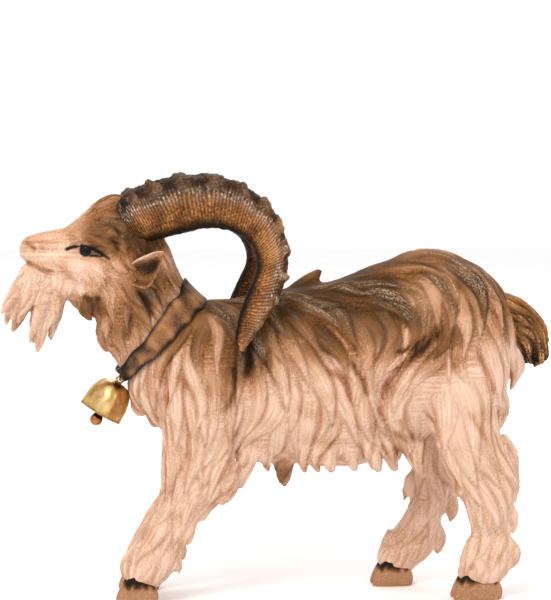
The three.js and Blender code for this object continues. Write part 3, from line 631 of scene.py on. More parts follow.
body = {
    "grain": 0.46,  # mm, the cube that the block is cut in
    "trunk": [
        (-34.8, 53, -34.4, 48, 0, 3), (-32.6, 59, -31.2, 45, 0, 7), (-28, 66, -28, 41.5, 0, 10.5),
        (-20, 70.6, -22, 36.5, 0, 12.5), (-10, 71.2, -12, 33.5, 0, 13.8), (2, 73.4, 2, 32, 0, 14.8),
        (15, 75.6, 14, 31.4, 0, 15.3), (25.4, 79.8, 25, 32.4, 0, 15.3), (36.6, 82.6, 35.6, 35.6, 0, 15),
        (47.6, 79.6, 46, 41, 0, 13.5), (54.2, 73.6, 53, 48, 0, 10), (57.6, 66, 57, 54.4, 0, 5),
    ],
    "neckRoot": [(-8, 69, -28, 42, 0, 11.5), (-13.5, 69.6, -32.6, 47.6, 0, 10.2), strap["lower"]],
    "tufts": [
        ([(4, 1, 71), (8.5, 1.5, 75), (11.6, 2, 78.2)], 5.2), ([(1, 0, 35), (2, 0, 31), (2.2, 0, 26)], 6.0),
        ([(-31.8, -1, 52), (-32.2, -1.2, 48.6), (-31, -1.4, 45.4)], 4.4),
        ([(-28, 0, 50.5), (-31.6, 0, 47), (-32.4, 0, 43.8)], 7.4),
        ([(-25.5, 1, 47), (-28.6, 1, 43.6), (-28.6, 1, 40.6)], 5.6),
        ([(-6.6, -8, 37), (-8.2, -9, 31.6), (-9.6, -9.4, 26.4)], 5.0),
        ([(-12, -11, 33), (-11.4, -11.5, 28), (-14.2, -11.5, 23.4)], 4.6),
        ([(-11, 11, 33), (-10.4, 11.5, 28), (-13.4, 11.5, 23.4)], 4.6),
        ([(32, -6, 38), (33.6, -7.6, 33), (35, -8, 28)], 6.0),
        ([(29, 6, 38), (30.5, 7, 34), (31.2, 7.5, 30.5)], 5.0),
        ([(52, -9, 37), (55.6, -10, 33), (56, -10.6, 27.8)], 5.0),
        ([(49, 9, 38), (50.4, 9.6, 33), (49.4, 10, 27)], 5.0),
        ([(56, -4, 58), (57.4, -5, 54), (56, -6, 49)], 5.5),
        ([(56, 4, 58), (57.4, 5, 54), (56, 6, 49)], 5.5),
        ([(50, -9, 50), (52.6, -10, 45), (51.5, -10.5, 40)], 6.5),
        ([(48.5, 9, 50), (51, 10, 45), (49.6, 10, 40)], 6.5),
        ([(-16.6, -10, 32), (-14.6, -10.6, 27.4), (-13.6, -10.6, 23.8)], 5.4),
        ([(-20.4, -10, 26.8), (-18.4, -10.4, 23), (-18, -10.4, 19.2)], 5.0),
        ([(-24, -10, 20.6), (-21.8, -10.2, 17.4), (-21.6, -10.2, 13.6)], 4.6),
        ([(-27, -9, 13), (-24.4, -9.4, 9.8), (-23.6, -9.4, 6)], 4.4),
        ([(-34, -9, 12), (-36.6, -9.4, 9), (-37.2, -9.4, 5.8)], 3.0),
        ([(-15.6, 10, 31), (-12.8, 10.4, 27), (-12.4, 10.4, 23.4)], 4.0),
        ([(-18.6, 10, 25.6), (-16.2, 10.2, 22.2), (-16.8, 10.2, 18.6)], 3.6),
        ([(-25, 9, 13), (-21.8, 9.2, 9.6), (-22, 9.2, 6.2)], 3.2),
        ([(46, -11, 30.6), (43.2, -11.6, 27.6), (42.6, -11.6, 24)], 4.8),
        ([(53.6, -11, 22), (55.8, -11.4, 18.8), (55.8, -11.4, 15)], 4.4),
        ([(53.2, -11, 13.6), (56, -11.4, 10.8), (56.2, -11.4, 7)], 4.4),
        ([(47, -11, 13.6), (44.8, -11.4, 10.4), (43.6, -11.4, 7)], 4.4),
        ([(43.4, 9.4, 22.6), (44.8, 9.8, 18.6), (44.2, 9.8, 14.8)], 4.4),
        ([(40, 9.4, 14), (41.8, 9.8, 10.6), (41, 9.8, 7)], 4.4),
        ([(36, 9.4, 27), (33.8, 9.8, 23.4), (32.4, 9.8, 20)], 3.2),
        ([(30, 9.4, 13), (28, 9.8, 10), (26.6, 9.8, 6.6)], 3.0),
    ],
    "fringe": [-2.6, 5.2, 8.4, 12.4, 16.6, 21.8, 27.4],  # places of the belly tips along the goat
}
legRows = {
    "front_left": [
        (-25.6, 58, -12, 58, -7, 5.5), (-27.2, 48, -10.5, 47, -8.2, 6), (-27.4, 40.5, -10.6, 39, -8.8, 5.4),
        (-27.4, 35.6, -11, 33.6, -9, 5), (-27.75, 30, -12.35, 28, -9, 4.6),
        (-28.45, 24.8, -14.75, 23.4, -9, 4.2),
        (-30.3, 20.6, -18.9, 19.6, -9, 3.9), (-32.9, 16.4, -21.7, 15.8, -9, 3.8),
        (-35.2, 12.6, -23.1, 12, -9, 3.9),
        (-36.5, 9.4, -23.7, 8.8, -9, 4.2), (-36.8, 5.6, -28.9, 3.4, -9, 3.7),
    ],
    "front_right": [
        (-24.6, 58, -12, 58, 7, 5.5), (-25.6, 48, -10.5, 47, 8.2, 6), (-25.8, 40.5, -10.8, 39, 8.8, 5.4),
        (-25.8, 35.6, -11.4, 33.6, 9, 5), (-25.95, 30, -13.35, 28, 9, 4.5),
        (-26.95, 24.8, -16.15, 23.6, 9, 4.2),
        (-28.9, 20.6, -18.9, 19.6, 9, 3.9), (-31.7, 16.4, -21.5, 15.8, 9, 3.8),
        (-33.8, 12.6, -22.9, 12, 9, 3.9),
        (-35.1, 9.4, -23.5, 8.8, 9, 4.2), (-35.4, 5.6, -27.7, 3.4, 9, 3.7),
    ],
    "hind_left": [
        (39, 64, 55, 64, -6.5, 6), (36.4, 54, 54.6, 53, -8.5, 7), (36, 44, 52, 43, -9.6, 6.6),
        (37.6, 36, 53.4, 35.6, -10.3, 5.6), (40.2, 30.6, 56.6, 32, -10.6, 5),
        (43, 25.4, 57.2, 26.4, -10.8, 4.4),
        (45.2, 20.4, 55.2, 20.8, -10.9, 3.9), (46.2, 15.2, 54.8, 15.4, -10.9, 3.7),
        (45.4, 11.4, 55.8, 11.4, -11, 3.9), (43.6, 8.2, 56.4, 8.6, -11, 4.2), (43, 5.2, 52.4, 3, -11, 3.7),
    ],
    "hind_right": [
        (36.4, 64, 53, 64, 6.5, 6), (34, 54, 52, 52, 8, 7), (32.6, 44, 50, 42, 8.8, 6.4),
        (33.8, 36, 50, 34.6, 9.3, 5.6), (34.95, 30, 48.95, 30, 9.4, 5), (35.35, 25, 47.15, 25, 9.4, 4.4),
        (34.1, 20, 43.9, 20.4, 9.4, 4), (31.1, 14.6, 41.9, 15.2, 9.4, 3.8), (28.1, 10.4, 40.7, 10.2, 9.4, 4),
        (26.3, 7.6, 38.3, 6.6, 9.4, 4.1), (26.5, 5, 34.3, 2.8, 9.4, 3.7),
    ],
}
hooves = {
    # mm; the hair fades out under the cuff's height, and the leg's own block stops at the top
    "width": 3.4, "cleft": 0.9, "cuff": 6.2, "top": 2.2,
    "toes": {"front_left": -38.7, "front_right": -37.3, "hind_left": 41.2, "hind_right": 24.7},
    "heels": {"front_left": -29.1, "front_right": -27.7, "hind_left": 52.8, "hind_right": 34.5},
}
bodyHair = {
    "name": "body hair", "seed": 5, "tries": 26000, "reach": 4.6, "drift": (0.25, -1.0), "lean": 0.35,
    "apart": (0.95, 0.42), "swing": 1.0, "strandGap": 1.3, "strandHeight": 0.2, "cut": 0.5, "soften": 2,
    "comb": [
        [(-18, 66), (-20, 60.5), (-22, 54), (-21.5, 48), (-23, 42.5)],
        [(-14, 67), (-13, 59.5), (-12.5, 53.5), (-14.5, 43.5), (-19, 36),
         (-23, 27.5), (-27, 20.5), (-31, 13.5), (-32, 7)],
        [(-2.5, 66), (-4, 60), (-2.5, 54.5), (1.5, 48), (0, 41), (-4.5, 35.5)],
        [(0.5, 71), (1.5, 65), (4, 61), (9, 57), (11.5, 52), (9, 45.5), (8, 39.5), (8, 33.5)],
        [(11, 67), (12.5, 63), (16, 56.5), (14.5, 51), (17, 45), (21.5, 40)],
        [(16, 63), (19, 55), (21, 49.5), (20.5, 45.5), (22, 40.5), (25, 34)],
        [(-20, 71), (-8, 72), (2, 73.5), (11, 74.5), (16, 74), (21, 71.5), (26, 69.5), (31, 66)],
        [(35, 71.5), (32, 62.5), (28.5, 59), (24, 58)],
        [(39.5, 68), (37, 63.5), (30.5, 58), (25.5, 53), (24, 46.5), (25.5, 42.5), (28, 37)],
        [(42, 66), (40.5, 60), (37.5, 54), (39, 48), (40, 42.5), (36.5, 36.5), (36, 30.5)],
        [(44, 69.5), (44, 62), (47.5, 54.5), (50, 50), (49.5, 46)],
        [(47.5, 68.5), (50, 62), (52.5, 54.5), (53, 50), (52, 45)],
        [(43, 50), (46.5, 44), (48, 40), (50.5, 36), (54, 31)],
        [(40.5, 42.5), (42.5, 34), (47.5, 26.5), (51, 19), (50, 9.5), (48, 5)],
        [(20, 78), (28, 81.5), (33.5, 83), (40.5, 79.5), (41.5, 75), (44, 69.5)],
        [(45.5, 79.5), (49, 74.5), (51.5, 69), (56, 62), (57, 55)],
        [(-27, 66), (-31, 58), (-32.5, 50), (-29, 43), (-25, 37), (-25, 30)],
        [(-24, 62), (-27, 54), (-27, 47), (-26, 40)], [(38, 24), (38, 18), (35, 12), (32, 7)],
    ],
    # place, reach, half width, length and height of the locks, mm
    "regions": [
        ("back", 15, 78, 7, 1.8, 20, 0.4), ("croup", 42, 78, 7, 2.0, 20, 0.55),
        ("withers", -12, 70, 6, 1.8, 20, 0.6),
        ("shoulder", -16, 56, 7, 2.2, 25, 0.95), ("chest", -30, 52, 6, 2.2, 20, 0.9),
        ("flank", 6, 54, 8, 2.8, 25, 0.95),
        ("low flank", 8, 40, 6, 2.6, 21, 0.75), ("swirl", 27, 62, 5, 2.3, 20, 0.85),
        ("thigh", 42, 52, 7, 2.8, 25, 0.8),
        ("rump", 52, 58, 5, 2.2, 20, 0.75), ("fringe", 8, 31, 3, 1.8, 11, 0.6),
        ("elbow", -18, 36, 6, 2.4, 17, 0.6),
        ("stifle", 38, 37, 6, 2.4, 18, 0.6), ("fore shank", -24, 20, 8, 2.1, 15, 0.32),
        ("hind shank", 46, 20, 9, 2.1, 15, 0.32), ("pastern", -30, 8, 4, 1.6, 8, 0.3),
        ("hind pastern", 42, 8, 8, 1.6, 8, 0.3),
    ],
    # long cuts between the masses of hair: line, half width, depth
    "cuts": [
        # The first cut lies under the near horn's tip; its darkening there is painted shadow of the tip.
        ([(-8.2, 63), (-7.4, 58), (-8.6, 53)], 1.0, 0.7),
        ([(38.5, 67), (36, 62.5), (29.5, 57), (24.8, 51.5), (23.6, 46), (24.6, 41)], 0.9, 0.9),
        ([(26, 59.2), (31, 60.5), (35, 64)], 0.7, 0.6), ([(10, 56), (15, 52.5), (16.4, 47.5)], 0.7, 0.55),
        ([(15.5, 58.5), (18.8, 53), (20.6, 48.6)], 0.7, 0.6),
        ([(-11.5, 58), (-11, 51), (-14, 44)], 0.7, 0.55),
        ([(-3, 61), (-3.4, 56), (0, 50.5)], 0.6, 0.45), ([(46, 61), (49, 54), (50.6, 48.5)], 0.7, 0.6),
        ([(26.5, 40.5), (31, 38.6), (36, 38)], 1.0, 0.35), ([(28, 44), (29.6, 40)], 0.7, 0.5),
        ([(-25, 60), (-27, 53), (-26, 46)], 0.7, 0.5), ([(43.5, 46), (47, 41), (49.5, 36)], 0.6, 0.45),
    ],
}
bodyStainAndShade = {
    "base": 0.06, "pale": 48.0, "dark": 75.0, "back": 0.72,
    "spots": [
        (-14, 62, 7, 0.26), (-11, 53, 4, 0.2), (-22, 60, 6, 0.1), (24, 70, 7, 0.2), (15, 74, 8, 0.14),
        (-4, 68, 6, 0.2),
        (45, 66, 7, -0.2), (34, 72, 3.5, -0.28), (35, 78, 5, -0.14), (34, 56, 5, 0.05), (52, 66, 4, 0.12),
        # (-7.8, 58, 2.4, 0.5) is a painted shadow under the near horn's tip.
        (50, 57, 6, -0.05), (-7.8, 58, 2.4, 0.5), (2.2, 28, 2.6, 0.4), (6, 68, 7, 0.1), (8, 60, 5, 0.06),
        (25, 50, 3, 0.1), (-30, 50, 4, 0.08), (28, 39, 4, 0.1), (45, 74, 4, 0.12), (42, 52, 7, -0.14),
    ],
}


def stainAndShadeOf(coords, table):
    # The wash: a base, a rise from the pale height to the dark one, and soft round spots in the side view; some
    # spots are painted shadows under the horns.
    height = coords[:, 2] + 4 * patches(coords, 16, 3)
    stainAndShade = table["base"] + table["back"] * ramp(table["pale"], table["dark"], height)
    for x, z, reach, amount in table["spots"]:
        stainAndShade = stainAndShade + amount * np.exp(-((coords[:, 0] - x) ** 2 + (coords[:, 2] - z) ** 2) / (2 * reach**2))
    return stainAndShade + 0.05 * patches(coords, 8, 9)


def carve(coords, normals, cuts, relief, darkeningAndShade):
    # Long cuts seen from the side: depth * e^-(distance / half width)^2, fading out at both ends.
    for line, halfWidth, depth in cuts:
        gap, along = lineDistance(coords, smoothRows(line, 24))
        hold = np.exp(-((gap / halfWidth) ** 2)) * ramp(0, 0.2, along) * ramp(1, 0.8, along)
        hold = hold * ramp(0.1, 0.45, np.abs(normals[:, 1]))
        relief -= depth * hold
        darkeningAndShade += np.clip(depth, -0.6, 0.7) * hold
    return relief, darkeningAndShade


def clearOfBell(coords, swings, push):
    # Moves the carving in small steps out of the room that the bell hangs in and swings through.
    coords = coords.copy()
    for swing in swings:
        lean = bell["lean"] + np.radians(swing)
        for step in range(60):
            rel = coords - bell["pivot"]
            depth = -(rel[:, 2] * np.cos(lean) + rel[:, 0] * np.sin(lean))
            level = rel[:, 0] * np.cos(lean) - rel[:, 2] * np.sin(lean)
            yaw = bell["yaw"]
            u = level * np.cos(yaw) + rel[:, 1] * np.sin(yaw)
            v = rel[:, 1] * np.cos(yaw) - level * np.sin(yaw)
            reach = (np.abs(u) ** 3 + np.abs(v) ** 3) ** (1 / 3)
            half = np.interp((depth - bell["shoulder"]) / bell["height"], *np.array(bell["profile"]).T)
            room = bell["crown"] + half * (bell["mouth"] - bell["crown"]) + 0.55
            inside = (reach < room) & (depth > 0.2) & (depth < bell["shoulder"] + bell["height"] + 0.6)
            if not inside.any():
                break
            coords[inside] += push
    return coords


pivots = [np.array(joint["pos_m"]) * [1, 0, 1] / unit - shift for joint in frame["joints"]]
bell = {
    "pivot": pivots[0], "clapperPivot": pivots[1], "lean": np.radians(31), "yaw": np.radians(42),
    "shoulder": 0.95, "height": 8.2, "crown": 1.7, "mouth": 4.7,
    "wall": 0.7, "wire": 0.25, "loop": 0.8, "stem": 8.0, "ball": 1.5, "stapleHalf": 1.7, "prong": 4.15,
    "profile": [(0, 0), (0.06, 0.4), (0.2, 0.7), (0.42, 0.9), (0.7, 0.99), (1, 1)],
}


def hoofShell(name, side):
    # One toe: flat rings stacked from the sole up, longest just above the ground, leaning back to the hair.
    toe, heel = hooves["toes"][name], hooves["heels"][name]
    foot = legRows[name][-1][4] + side * (hooves["width"] + hooves["cleft"]) / 2
    half = hooves["width"] / 2
    rows = [
        (toe + 0.5, 0.0, heel - 0.7, 0.0, foot, half - 0.35),
        (toe + 0.1, 0.25, heel - 0.1, 0.25, foot, half),
        (toe + 0.2, 1.2, heel + 0.25, 1.2, foot, half + 0.05),
        (toe + 0.7, 2.6, heel + 0.2, 2.6, foot, half + 0.05),
        (toe + 1.5, 4.2, heel - 0.4, 4.0, foot, half), (toe + 2.6, 5.8, heel - 1.4, 5.2, foot, half - 0.2),
        (toe + 3.8, 7.0, heel - 2.6, 6.2, foot, half - 0.6),
    ]
    rings = sectionRings(rows, 26, 30, 0.7)
    # Growth lines: faint steps around the wall, and a slightly dished sole.
    rings[..., 1] += 0.05 * np.sin(rings[..., 2] * 7) * np.sign(rings[..., 1] - foot)
    rings[0, :, 2] = rings[1, :, 2] = 0.0
    return shellOf(rings)


def makeBody():
    shells = [shellOf(sectionRings(body["trunk"], 70, 64)), shellOf(sectionRings(body["neckRoot"], 20, 48))]
    shells += [shellOf(sectionRings(rows, 60, 36)) for rows in legRows.values()]
    shells += tuftShells(body)
    for place in body["fringe"]:
        for side in (-1, 1):
            wander = 0.8 * np.sin(place * 5 + side)
            tip = place + wander
            path = [(place - 1, side * 8.4, 39), (tip, side * 9, 34.6), (tip + 1.4, side * 8.3, 30.4)]
            shells.append(hairTuft(path, 4.8))
    coords, quads, pairs = roughBlock("body", shells, body["grain"], 9)
    coords[:, 2] = np.maximum(coords[:, 2], hooves["top"])
    normals, relief, darkeningAndShade, strand, tint = hairOver(coords, quads, pairs, bodyHair)
    relief, darkeningAndShade = carve(coords, normals, bodyHair["cuts"], relief, darkeningAndShade)
    swell = 0.25 * patches(coords, 13, 21)
    lie = flattened(coords)
    bare = ramp(hooves["cuff"] - 2, hooves["cuff"], coords[:, 2])
    relief = relief * lie * bare + swell * lie
    coords = coords + normals * relief[:, None]
    coords = clearOfBell(coords, [0], (0.1, 0, 0))
    coords = spreadOut(coords, pairs, 1, 0.25)
    stainAndShade = stainAndShadeOf(coords, bodyStainAndShade)
    stainAndShade = stainAndShade + tint * (0.05 + 0.13 * ramp(0.05, 0.5, stainAndShade))
    worn = np.clip(relief, 0, 1) + 0.6 * ramp(64, 76, coords[:, 2]) * ramp(0.05, 0.4, relief)
    marks = {
        "stainAndShade": stainAndShade, "darkeningAndShade": np.clip(darkeningAndShade, 0, 1), "relief": np.clip(worn, 0, 1), "strand": strand,
        "facing": normalsOf(coords, quads),
    }

    face = coords[quads].mean(1)
    owner = np.zeros(len(quads), int)
    for number, (name, rows) in enumerate(legRows.items(), 1):
        table = np.array(rows)
        joint = table[3]
        level = joint[1] + (face[:, 0] - joint[0]) * (joint[3] - joint[1]) / (joint[2] - joint[0])
        height = face[:, 2]
        front = np.interp(height, table[::-1, 1], table[::-1, 0])
        back = np.interp(height, table[::-1, 3], table[::-1, 2])
        place = np.interp(height, table[::-1, 1], table[::-1, 4])
        half = np.interp(height, table[::-1, 1], table[::-1, 5])
        room = 1.6 + 3.0 * ramp(31, 26, height)
        inside = (height < level) & (face[:, 0] > front - room) & (face[:, 0] < back + room)
        owner[inside & (np.abs(face[:, 1] - place) < half + 0.9 + 2 * ramp(31, 26, height))] = number
    closePieces(coords, quads, settled(quads, owner), marks)


def settled(quads, owner):
    # Gives stray islands of each label to the piece round them: faces take the lowest number among their
    # neighbours of the same label until every island has one number; only the largest island keeps its label.
    ends = np.sort(np.vstack([quads[:, [k, (k + 1) % 4]] for k in range(4)]), 1)
    face = np.tile(np.arange(len(quads)), 4)
    order = np.lexsort((ends[:, 1], ends[:, 0]))
    ends, face = ends[order], face[order]
    same = (ends[1:] == ends[:-1]).all(1)
    a, b = face[:-1][same], face[1:][same]
    for label in range(len(legRows), -1, -1):
        inside = (owner[a] == label) & (owner[b] == label)
        root = np.arange(len(quads))
        for step in range(400):
            low = np.minimum(root[a[inside]], root[b[inside]])
            before = root.copy()
            np.minimum.at(root, a[inside], low)
            np.minimum.at(root, b[inside], low)
            root = root[root]
            if (root == before).all():
                break
        mine = root[owner == label]
        numbers, sizes = np.unique(mine, return_counts=True)
        for number in numbers[sizes < sizes.max()]:
            island = (owner == label) & (root == number)
            beside = owner[np.concatenate([b[island[a] & ~island[b]], a[island[b] & ~island[a]]])]
            owner[island] = beside[0] if len(beside) else label
    return owner


def closePieces(coords, quads, owner, marks):
    # Cuts the skin into trunk and legs along its own edges; each cut is closed by a fan to its middle.
    names = ["trunk", *("leg_" + name for name in legRows)]
    for number, name in enumerate(names):
        own = quads[owner == number]
        used, local = np.unique(own, return_inverse=True)
        own = local.reshape(-1, 4)
        points = coords[used]
        kept = {key: values[used] for key, values in marks.items()}
        edges = np.vstack([own[:, [k, (k + 1) % 4]] for k in range(4)])
        code = edges[:, 0].astype(np.int64) * len(points) + edges[:, 1]
        back = edges[:, 1].astype(np.int64) * len(points) + edges[:, 0]
        rim = edges[~np.isin(code, back)]
        fans = []
        loops = [0] if number else list(range(1, len(names)))
        for loop in loops:
            if number:
                mine = np.ones(len(rim), bool)
            else:
                leg = np.unique(quads[owner == loop])
                mine = np.isin(used[rim[:, 0]], leg) & np.isin(used[rim[:, 1]], leg)
            if not mine.any():
                continue
            # The cap dips under the skin first, so that no part of it shows where the rim turns inwards.
            ring, place = np.unique(rim[mine], return_inverse=True)
            place = place.reshape(-1, 2) + len(points)
            inner = points[ring] - 0.7 * kept["facing"][ring]
            points = np.vstack([points, inner, inner.mean(0)])
            for key, values in kept.items():
                shown = key != "facing"
                kept[key] = np.concatenate([values, values[ring] * shown, values[:1] * shown])
            own = np.vstack([own, np.stack([rim[mine, 1], rim[mine, 0], place[:, 0], place[:, 1]], 1)])
            fans.append(np.stack([place[:, 1], place[:, 0], np.full(mine.sum(), len(points) - 1)], 1))
        shell = [(points, own, np.vstack(fans))]
        if number:
            for side in (-1, 1):
                toe = hoofShell(name[4:], side)
                shell.append(toe)
                edge = ramp(3.4, 5.2, toe[0][:, 2] + 0.5 * np.sin(toe[0][:, 0] * 3.1))
                extra = {
                    "stainAndShade": 0.42 + 0.6 * edge, "darkeningAndShade": 0.3 + 0.7 * edge, "relief": 0.4 * (1 - edge),
                    "strand": toe[0], "facing": 0 * toe[0],
                }
                kept = {key: np.concatenate([values, extra[key]]) for key, values in kept.items()}
        piece = "carved_" + name
        finishPiece(piece, joinShells(shell), kept, bodyWood, "figure", [name])


makeBody()

head = {
    "grain": 0.29,
    "skull": [
        (-60.4, 84.3, -60.6, 82.3, 0, 1.5), (-59.2, 86, -59.8, 80.9, 0, 2.8), (-56.4, 87, -57, 79.4, 0, 3.7),
        (-52.6, 87.8, -54, 75.2, 0, 4.5), (-49.4, 88.6, -50.5, 72.4, 0, 5.4),
        (-45.4, 91.8, -47.5, 69.6, 0, 6.7),
        (-42, 94.6, -43.5, 67.4, 0, 7.8), (-38, 96, -39.5, 67, 0, 8.3), (-33.4, 95, -35, 68, 0, 8.1),
        (-29.2, 91.5, -30, 71, 0, 6.8), (-26.5, 86, -27, 77, 0, 4),
    ],
    "neck": [
        (-18.2, 71.6, -35.8, 53.4, 0, 9.2), strap["upper"], (-23.8, 79.2, -40.6, 61.6, 0, 8.3),
        (-25.8, 84.2, -43.4, 69, 0, 7.9),
        (-30.5, 90, -46, 74, 0, 7.2),
    ],
    "tufts": [
        ([(-54.5, 0, 78.4), (-58.4, 0, 78.6), (-60.9, 0, 77.2)], 4.4),
        ([(-53, 0, 79), (-58.4, 0, 73.4), (-62.4, -0.4, 66)], 8.0),
        ([(-51.6, 0, 78), (-54.8, 0, 71), (-57.8, -0.4, 61)], 8.4),
        ([(-54.5, -1, 80), (-60, -1.2, 75), (-65.0, -1.2, 68.0)], 6.0),
        ([(-54, 1.4, 78), (-58.8, 1.4, 71.4), (-62.6, 1.2, 63.6)], 6.0),
        ([(-52, -0.8, 78), (-54.6, -1, 69.4), (-56.6, -0.8, 58.8)], 6.4),
        ([(-50.6, 1.4, 76), (-52.4, 1.2, 68.6), (-53.4, 0.8, 61.6)], 5.0),
        ([(-55, -2.4, 78), (-58.4, -3, 72), (-61.4, -2.4, 65.8)], 4.6),
        ([(-53, -2.6, 77), (-55.6, -3, 70), (-58.4, -2, 61.0)], 4.4),
        ([(-56, 0, 79), (-61.5, 0.2, 73.4), (-64, 0.4, 65.0)], 4.4),
        ([(-51, -2.4, 76), (-51.8, -2.8, 71), (-54, -2, 64.6)], 4.4),
        ([(-52, 2.6, 77), (-54.6, 3, 70), (-57, 2.2, 62.6)], 4.6),
        ([(-42, -3.4, 72), (-45.4, -3.6, 69.8), (-43.8, -3.4, 66.4)], 4.6),
        ([(-42, 3.4, 72), (-45.2, 3.6, 69.8), (-43.8, 3.4, 66.6)], 4.4),
        ([(-39, 1, 68), (-41, 1, 63), (-40.6, 1, 59.6)], 4.4),
        ([(-38.6, -3, 68), (-40.4, -3.4, 64), (-39.4, -3.4, 60)], 4.6),
        ([(-37.6, -4, 65), (-39, -4.4, 61.6), (-38.2, -4, 58.8)], 4.0),
        ([(-38, 0, 64.6), (-40.4, 0, 61.6), (-40.2, 0, 58.8)], 4.4),
    ],
    # side-view strokes: line, half width, depth (negative stands proud)
    "strokes": [
        ([(-63, 81.6), (-59.6, 80.5), (-57.2, 79.6), (-54.6, 78.5), (-51.6, 77.6)], 0.45, 0.9),
        ([(-60.6, 85.2), (-58.7, 84.8), (-57.4, 83.8), (-57.0, 82.6)], 0.45, 0.9),
        ([(-59.2, 82.6), (-56, 81.8)], 1.2, -0.45), ([(-59.6, 78.6), (-56.4, 78)], 0.9, -0.5),
        ([(-59, 85.9), (-54, 86.6), (-50, 87)], 0.9, -0.35), ([(-56.5, 84.2), (-51, 84.6)], 1.2, 0.3),
        ([(-49.5, 84.4), (-46.5, 84.4), (-42.6, 83.2), (-39.4, 81.8)], 1.9, 0.55),
        ([(-45.6, 83.8), (-44, 83.4)], 1.0, -0.6),
        ([(-47.6, 85.6), (-45, 86.4), (-42, 85.4), (-39.6, 83.6)], 0.6, -0.45),
        ([(-47, 82.6), (-44.6, 81.6), (-41.6, 81.4)], 0.6, -0.35),
        ([(-49, 87), (-45, 88.8), (-41, 88.2), (-37.6, 86.2)], 1.2, -0.7),
        ([(-50, 80.4), (-45, 80), (-40.6, 78.6)], 1.9, -0.45),
        ([(-52, 79.4), (-49, 77.2), (-47, 75)], 0.9, 0.4),
        ([(-40, 79.6), (-40.4, 75.6), (-42.6, 72.4)], 1.1, 0.4),
        ([(-39.6, 87), (-38.2, 84.4), (-38.6, 82)], 0.8, 0.5),
        ([(-37.4, 87), (-36.2, 85), (-36.8, 82.6)], 0.7, -0.5),
        ([(-42, 90.6), (-38, 89.4), (-35.6, 87.4)], 0.8, -0.6),
        ([(-43, 89.6), (-39, 88.4), (-36.4, 86.6)], 0.5, 0.45),
        ([(-46.6, 72.8), (-44, 71.4), (-41, 71.8)], 0.9, 0.65),
        ([(-34, 74), (-31.2, 71.6), (-29.8, 66.4)], 1.0, 0.6),
        ([(-36.8, 72), (-35, 67), (-35.4, 61.6)], 0.9, 0.55),
        ([(-32, 73), (-28.6, 72), (-26, 69)], 0.7, 0.4),
    ],
    "eye": {"dot": (-45.3, 83.2), "round": 1.4, "lines": [
        ([(-49.6, 83.5), (-48.2, 84.0), (-46.4, 84.2)], 0.42),
        ([(-46.0, 84.3), (-43.6, 83.7), (-41.6, 82.6), (-39.7, 81.3)], 0.48),
        ([(-44.4, 82.2), (-42.8, 82.0), (-41.2, 81.9)], 0.3),
    ]},
}
headHair = {
    "name": "head hair", "seed": 12, "tries": 15000, "reach": 2.6, "drift": (0.6, -0.6), "lean": 0.35,
    "apart": (1.1, 0.5), "swing": 1.0, "strandGap": 0.9, "strandHeight": 0.09, "cut": 0.45, "soften": 2,
    "comb": [
        [(-59, 84), (-52, 85), (-47, 87), (-40, 90), (-33, 88)],
        [(-50, 88), (-46, 91), (-42, 94), (-37, 96), (-31, 95)],
        [(-50, 82), (-44, 80), (-39, 77), (-34, 72), (-30, 66)],
        [(-33.3, 73.4), (-30, 71.3), (-27.5, 67), (-26.8, 62)],
        [(-37, 74), (-36.4, 70), (-35.2, 65.5), (-36.6, 60.8), (-36, 57)],
        [(-47, 76), (-46, 72), (-46.5, 68.5)],
        [(-43, 72), (-42, 66), (-42.5, 61), (-41, 57)], [(-55, 78), (-59, 73), (-63.5, 67)],
        [(-54, 77), (-57, 70), (-60.5, 63.5)], [(-52.5, 77), (-54.5, 69), (-56.5, 60.5)],
        [(-50.5, 75), (-51.5, 70), (-53, 64)], [(-43, 90), (-39.5, 88.5), (-36, 85), (-35, 82)],
        [(-31, 84), (-28.5, 80), (-26, 75), (-22, 72)], [(-36, 78), (-33, 74), (-30.5, 70)],
    ],
    "regions": [
        ("face", -53, 82, 4, 1.0, 6, 0.0), ("cheek", -45, 80, 3, 1.0, 6, 0.03),
        ("forehead", -46, 90, 2.6, 1.1, 7, 0.3),
        ("crown", -40, 93, 3, 1.3, 8, 0.5), ("temple", -37, 86, 2.4, 1.1, 6, 0.45),
        ("jaw", -45, 69, 2.6, 1.3, 7, 0.6),
        ("beard", -57, 68, 5, 1.15, 14, 0.5), ("neck", -33, 68, 5, 1.6, 14, 0.6),
        ("throat", -41, 61, 4, 1.4, 10, 0.5),
        ("nape", -26, 80, 4, 1.5, 11, 0.5), ("muzzle", -58, 81, 2.5, 1, 5, 0.0),
    ],
}
headStainAndShade = {
    "base": 0.1, "pale": 79.0, "dark": 95.0, "back": 0.5,
    "spots": [
        (-35, 85, 5, 0.3), (-40, 91, 5, 0.1), (-31, 75, 5, 0.22), (-45, 68.6, 2.6, 0.45),
        (-43.4, 71, 1.8, 0.35),
        (-56, 85, 5, -0.1), (-34, 66, 6, 0.2), (-41, 60, 4, 0.1), (-46, 83, 3, -0.1), (-44, 87, 2.4, 0.1),
        # (-30, 88, 4, 0.35) and (-31, 84.2, 2.6, 0.7) darken the temple under the horn's root: painted shadow of
        # the horn.
        (-30, 88, 4, 0.35), (-34, 79, 3, 0.14), (-26, 76, 4, 0.2), (-57.6, 79.8, 1.2, 0.12),
        (-30, 72, 2.5, 0.2),
        (-36, 69, 5, 0.24), (-31, 84.2, 2.6, 0.7), (-50, 88, 3, 0.08), (-44, 92.5, 3, -0.1),
        (-39, 62, 4, 0.12),
    ],
}


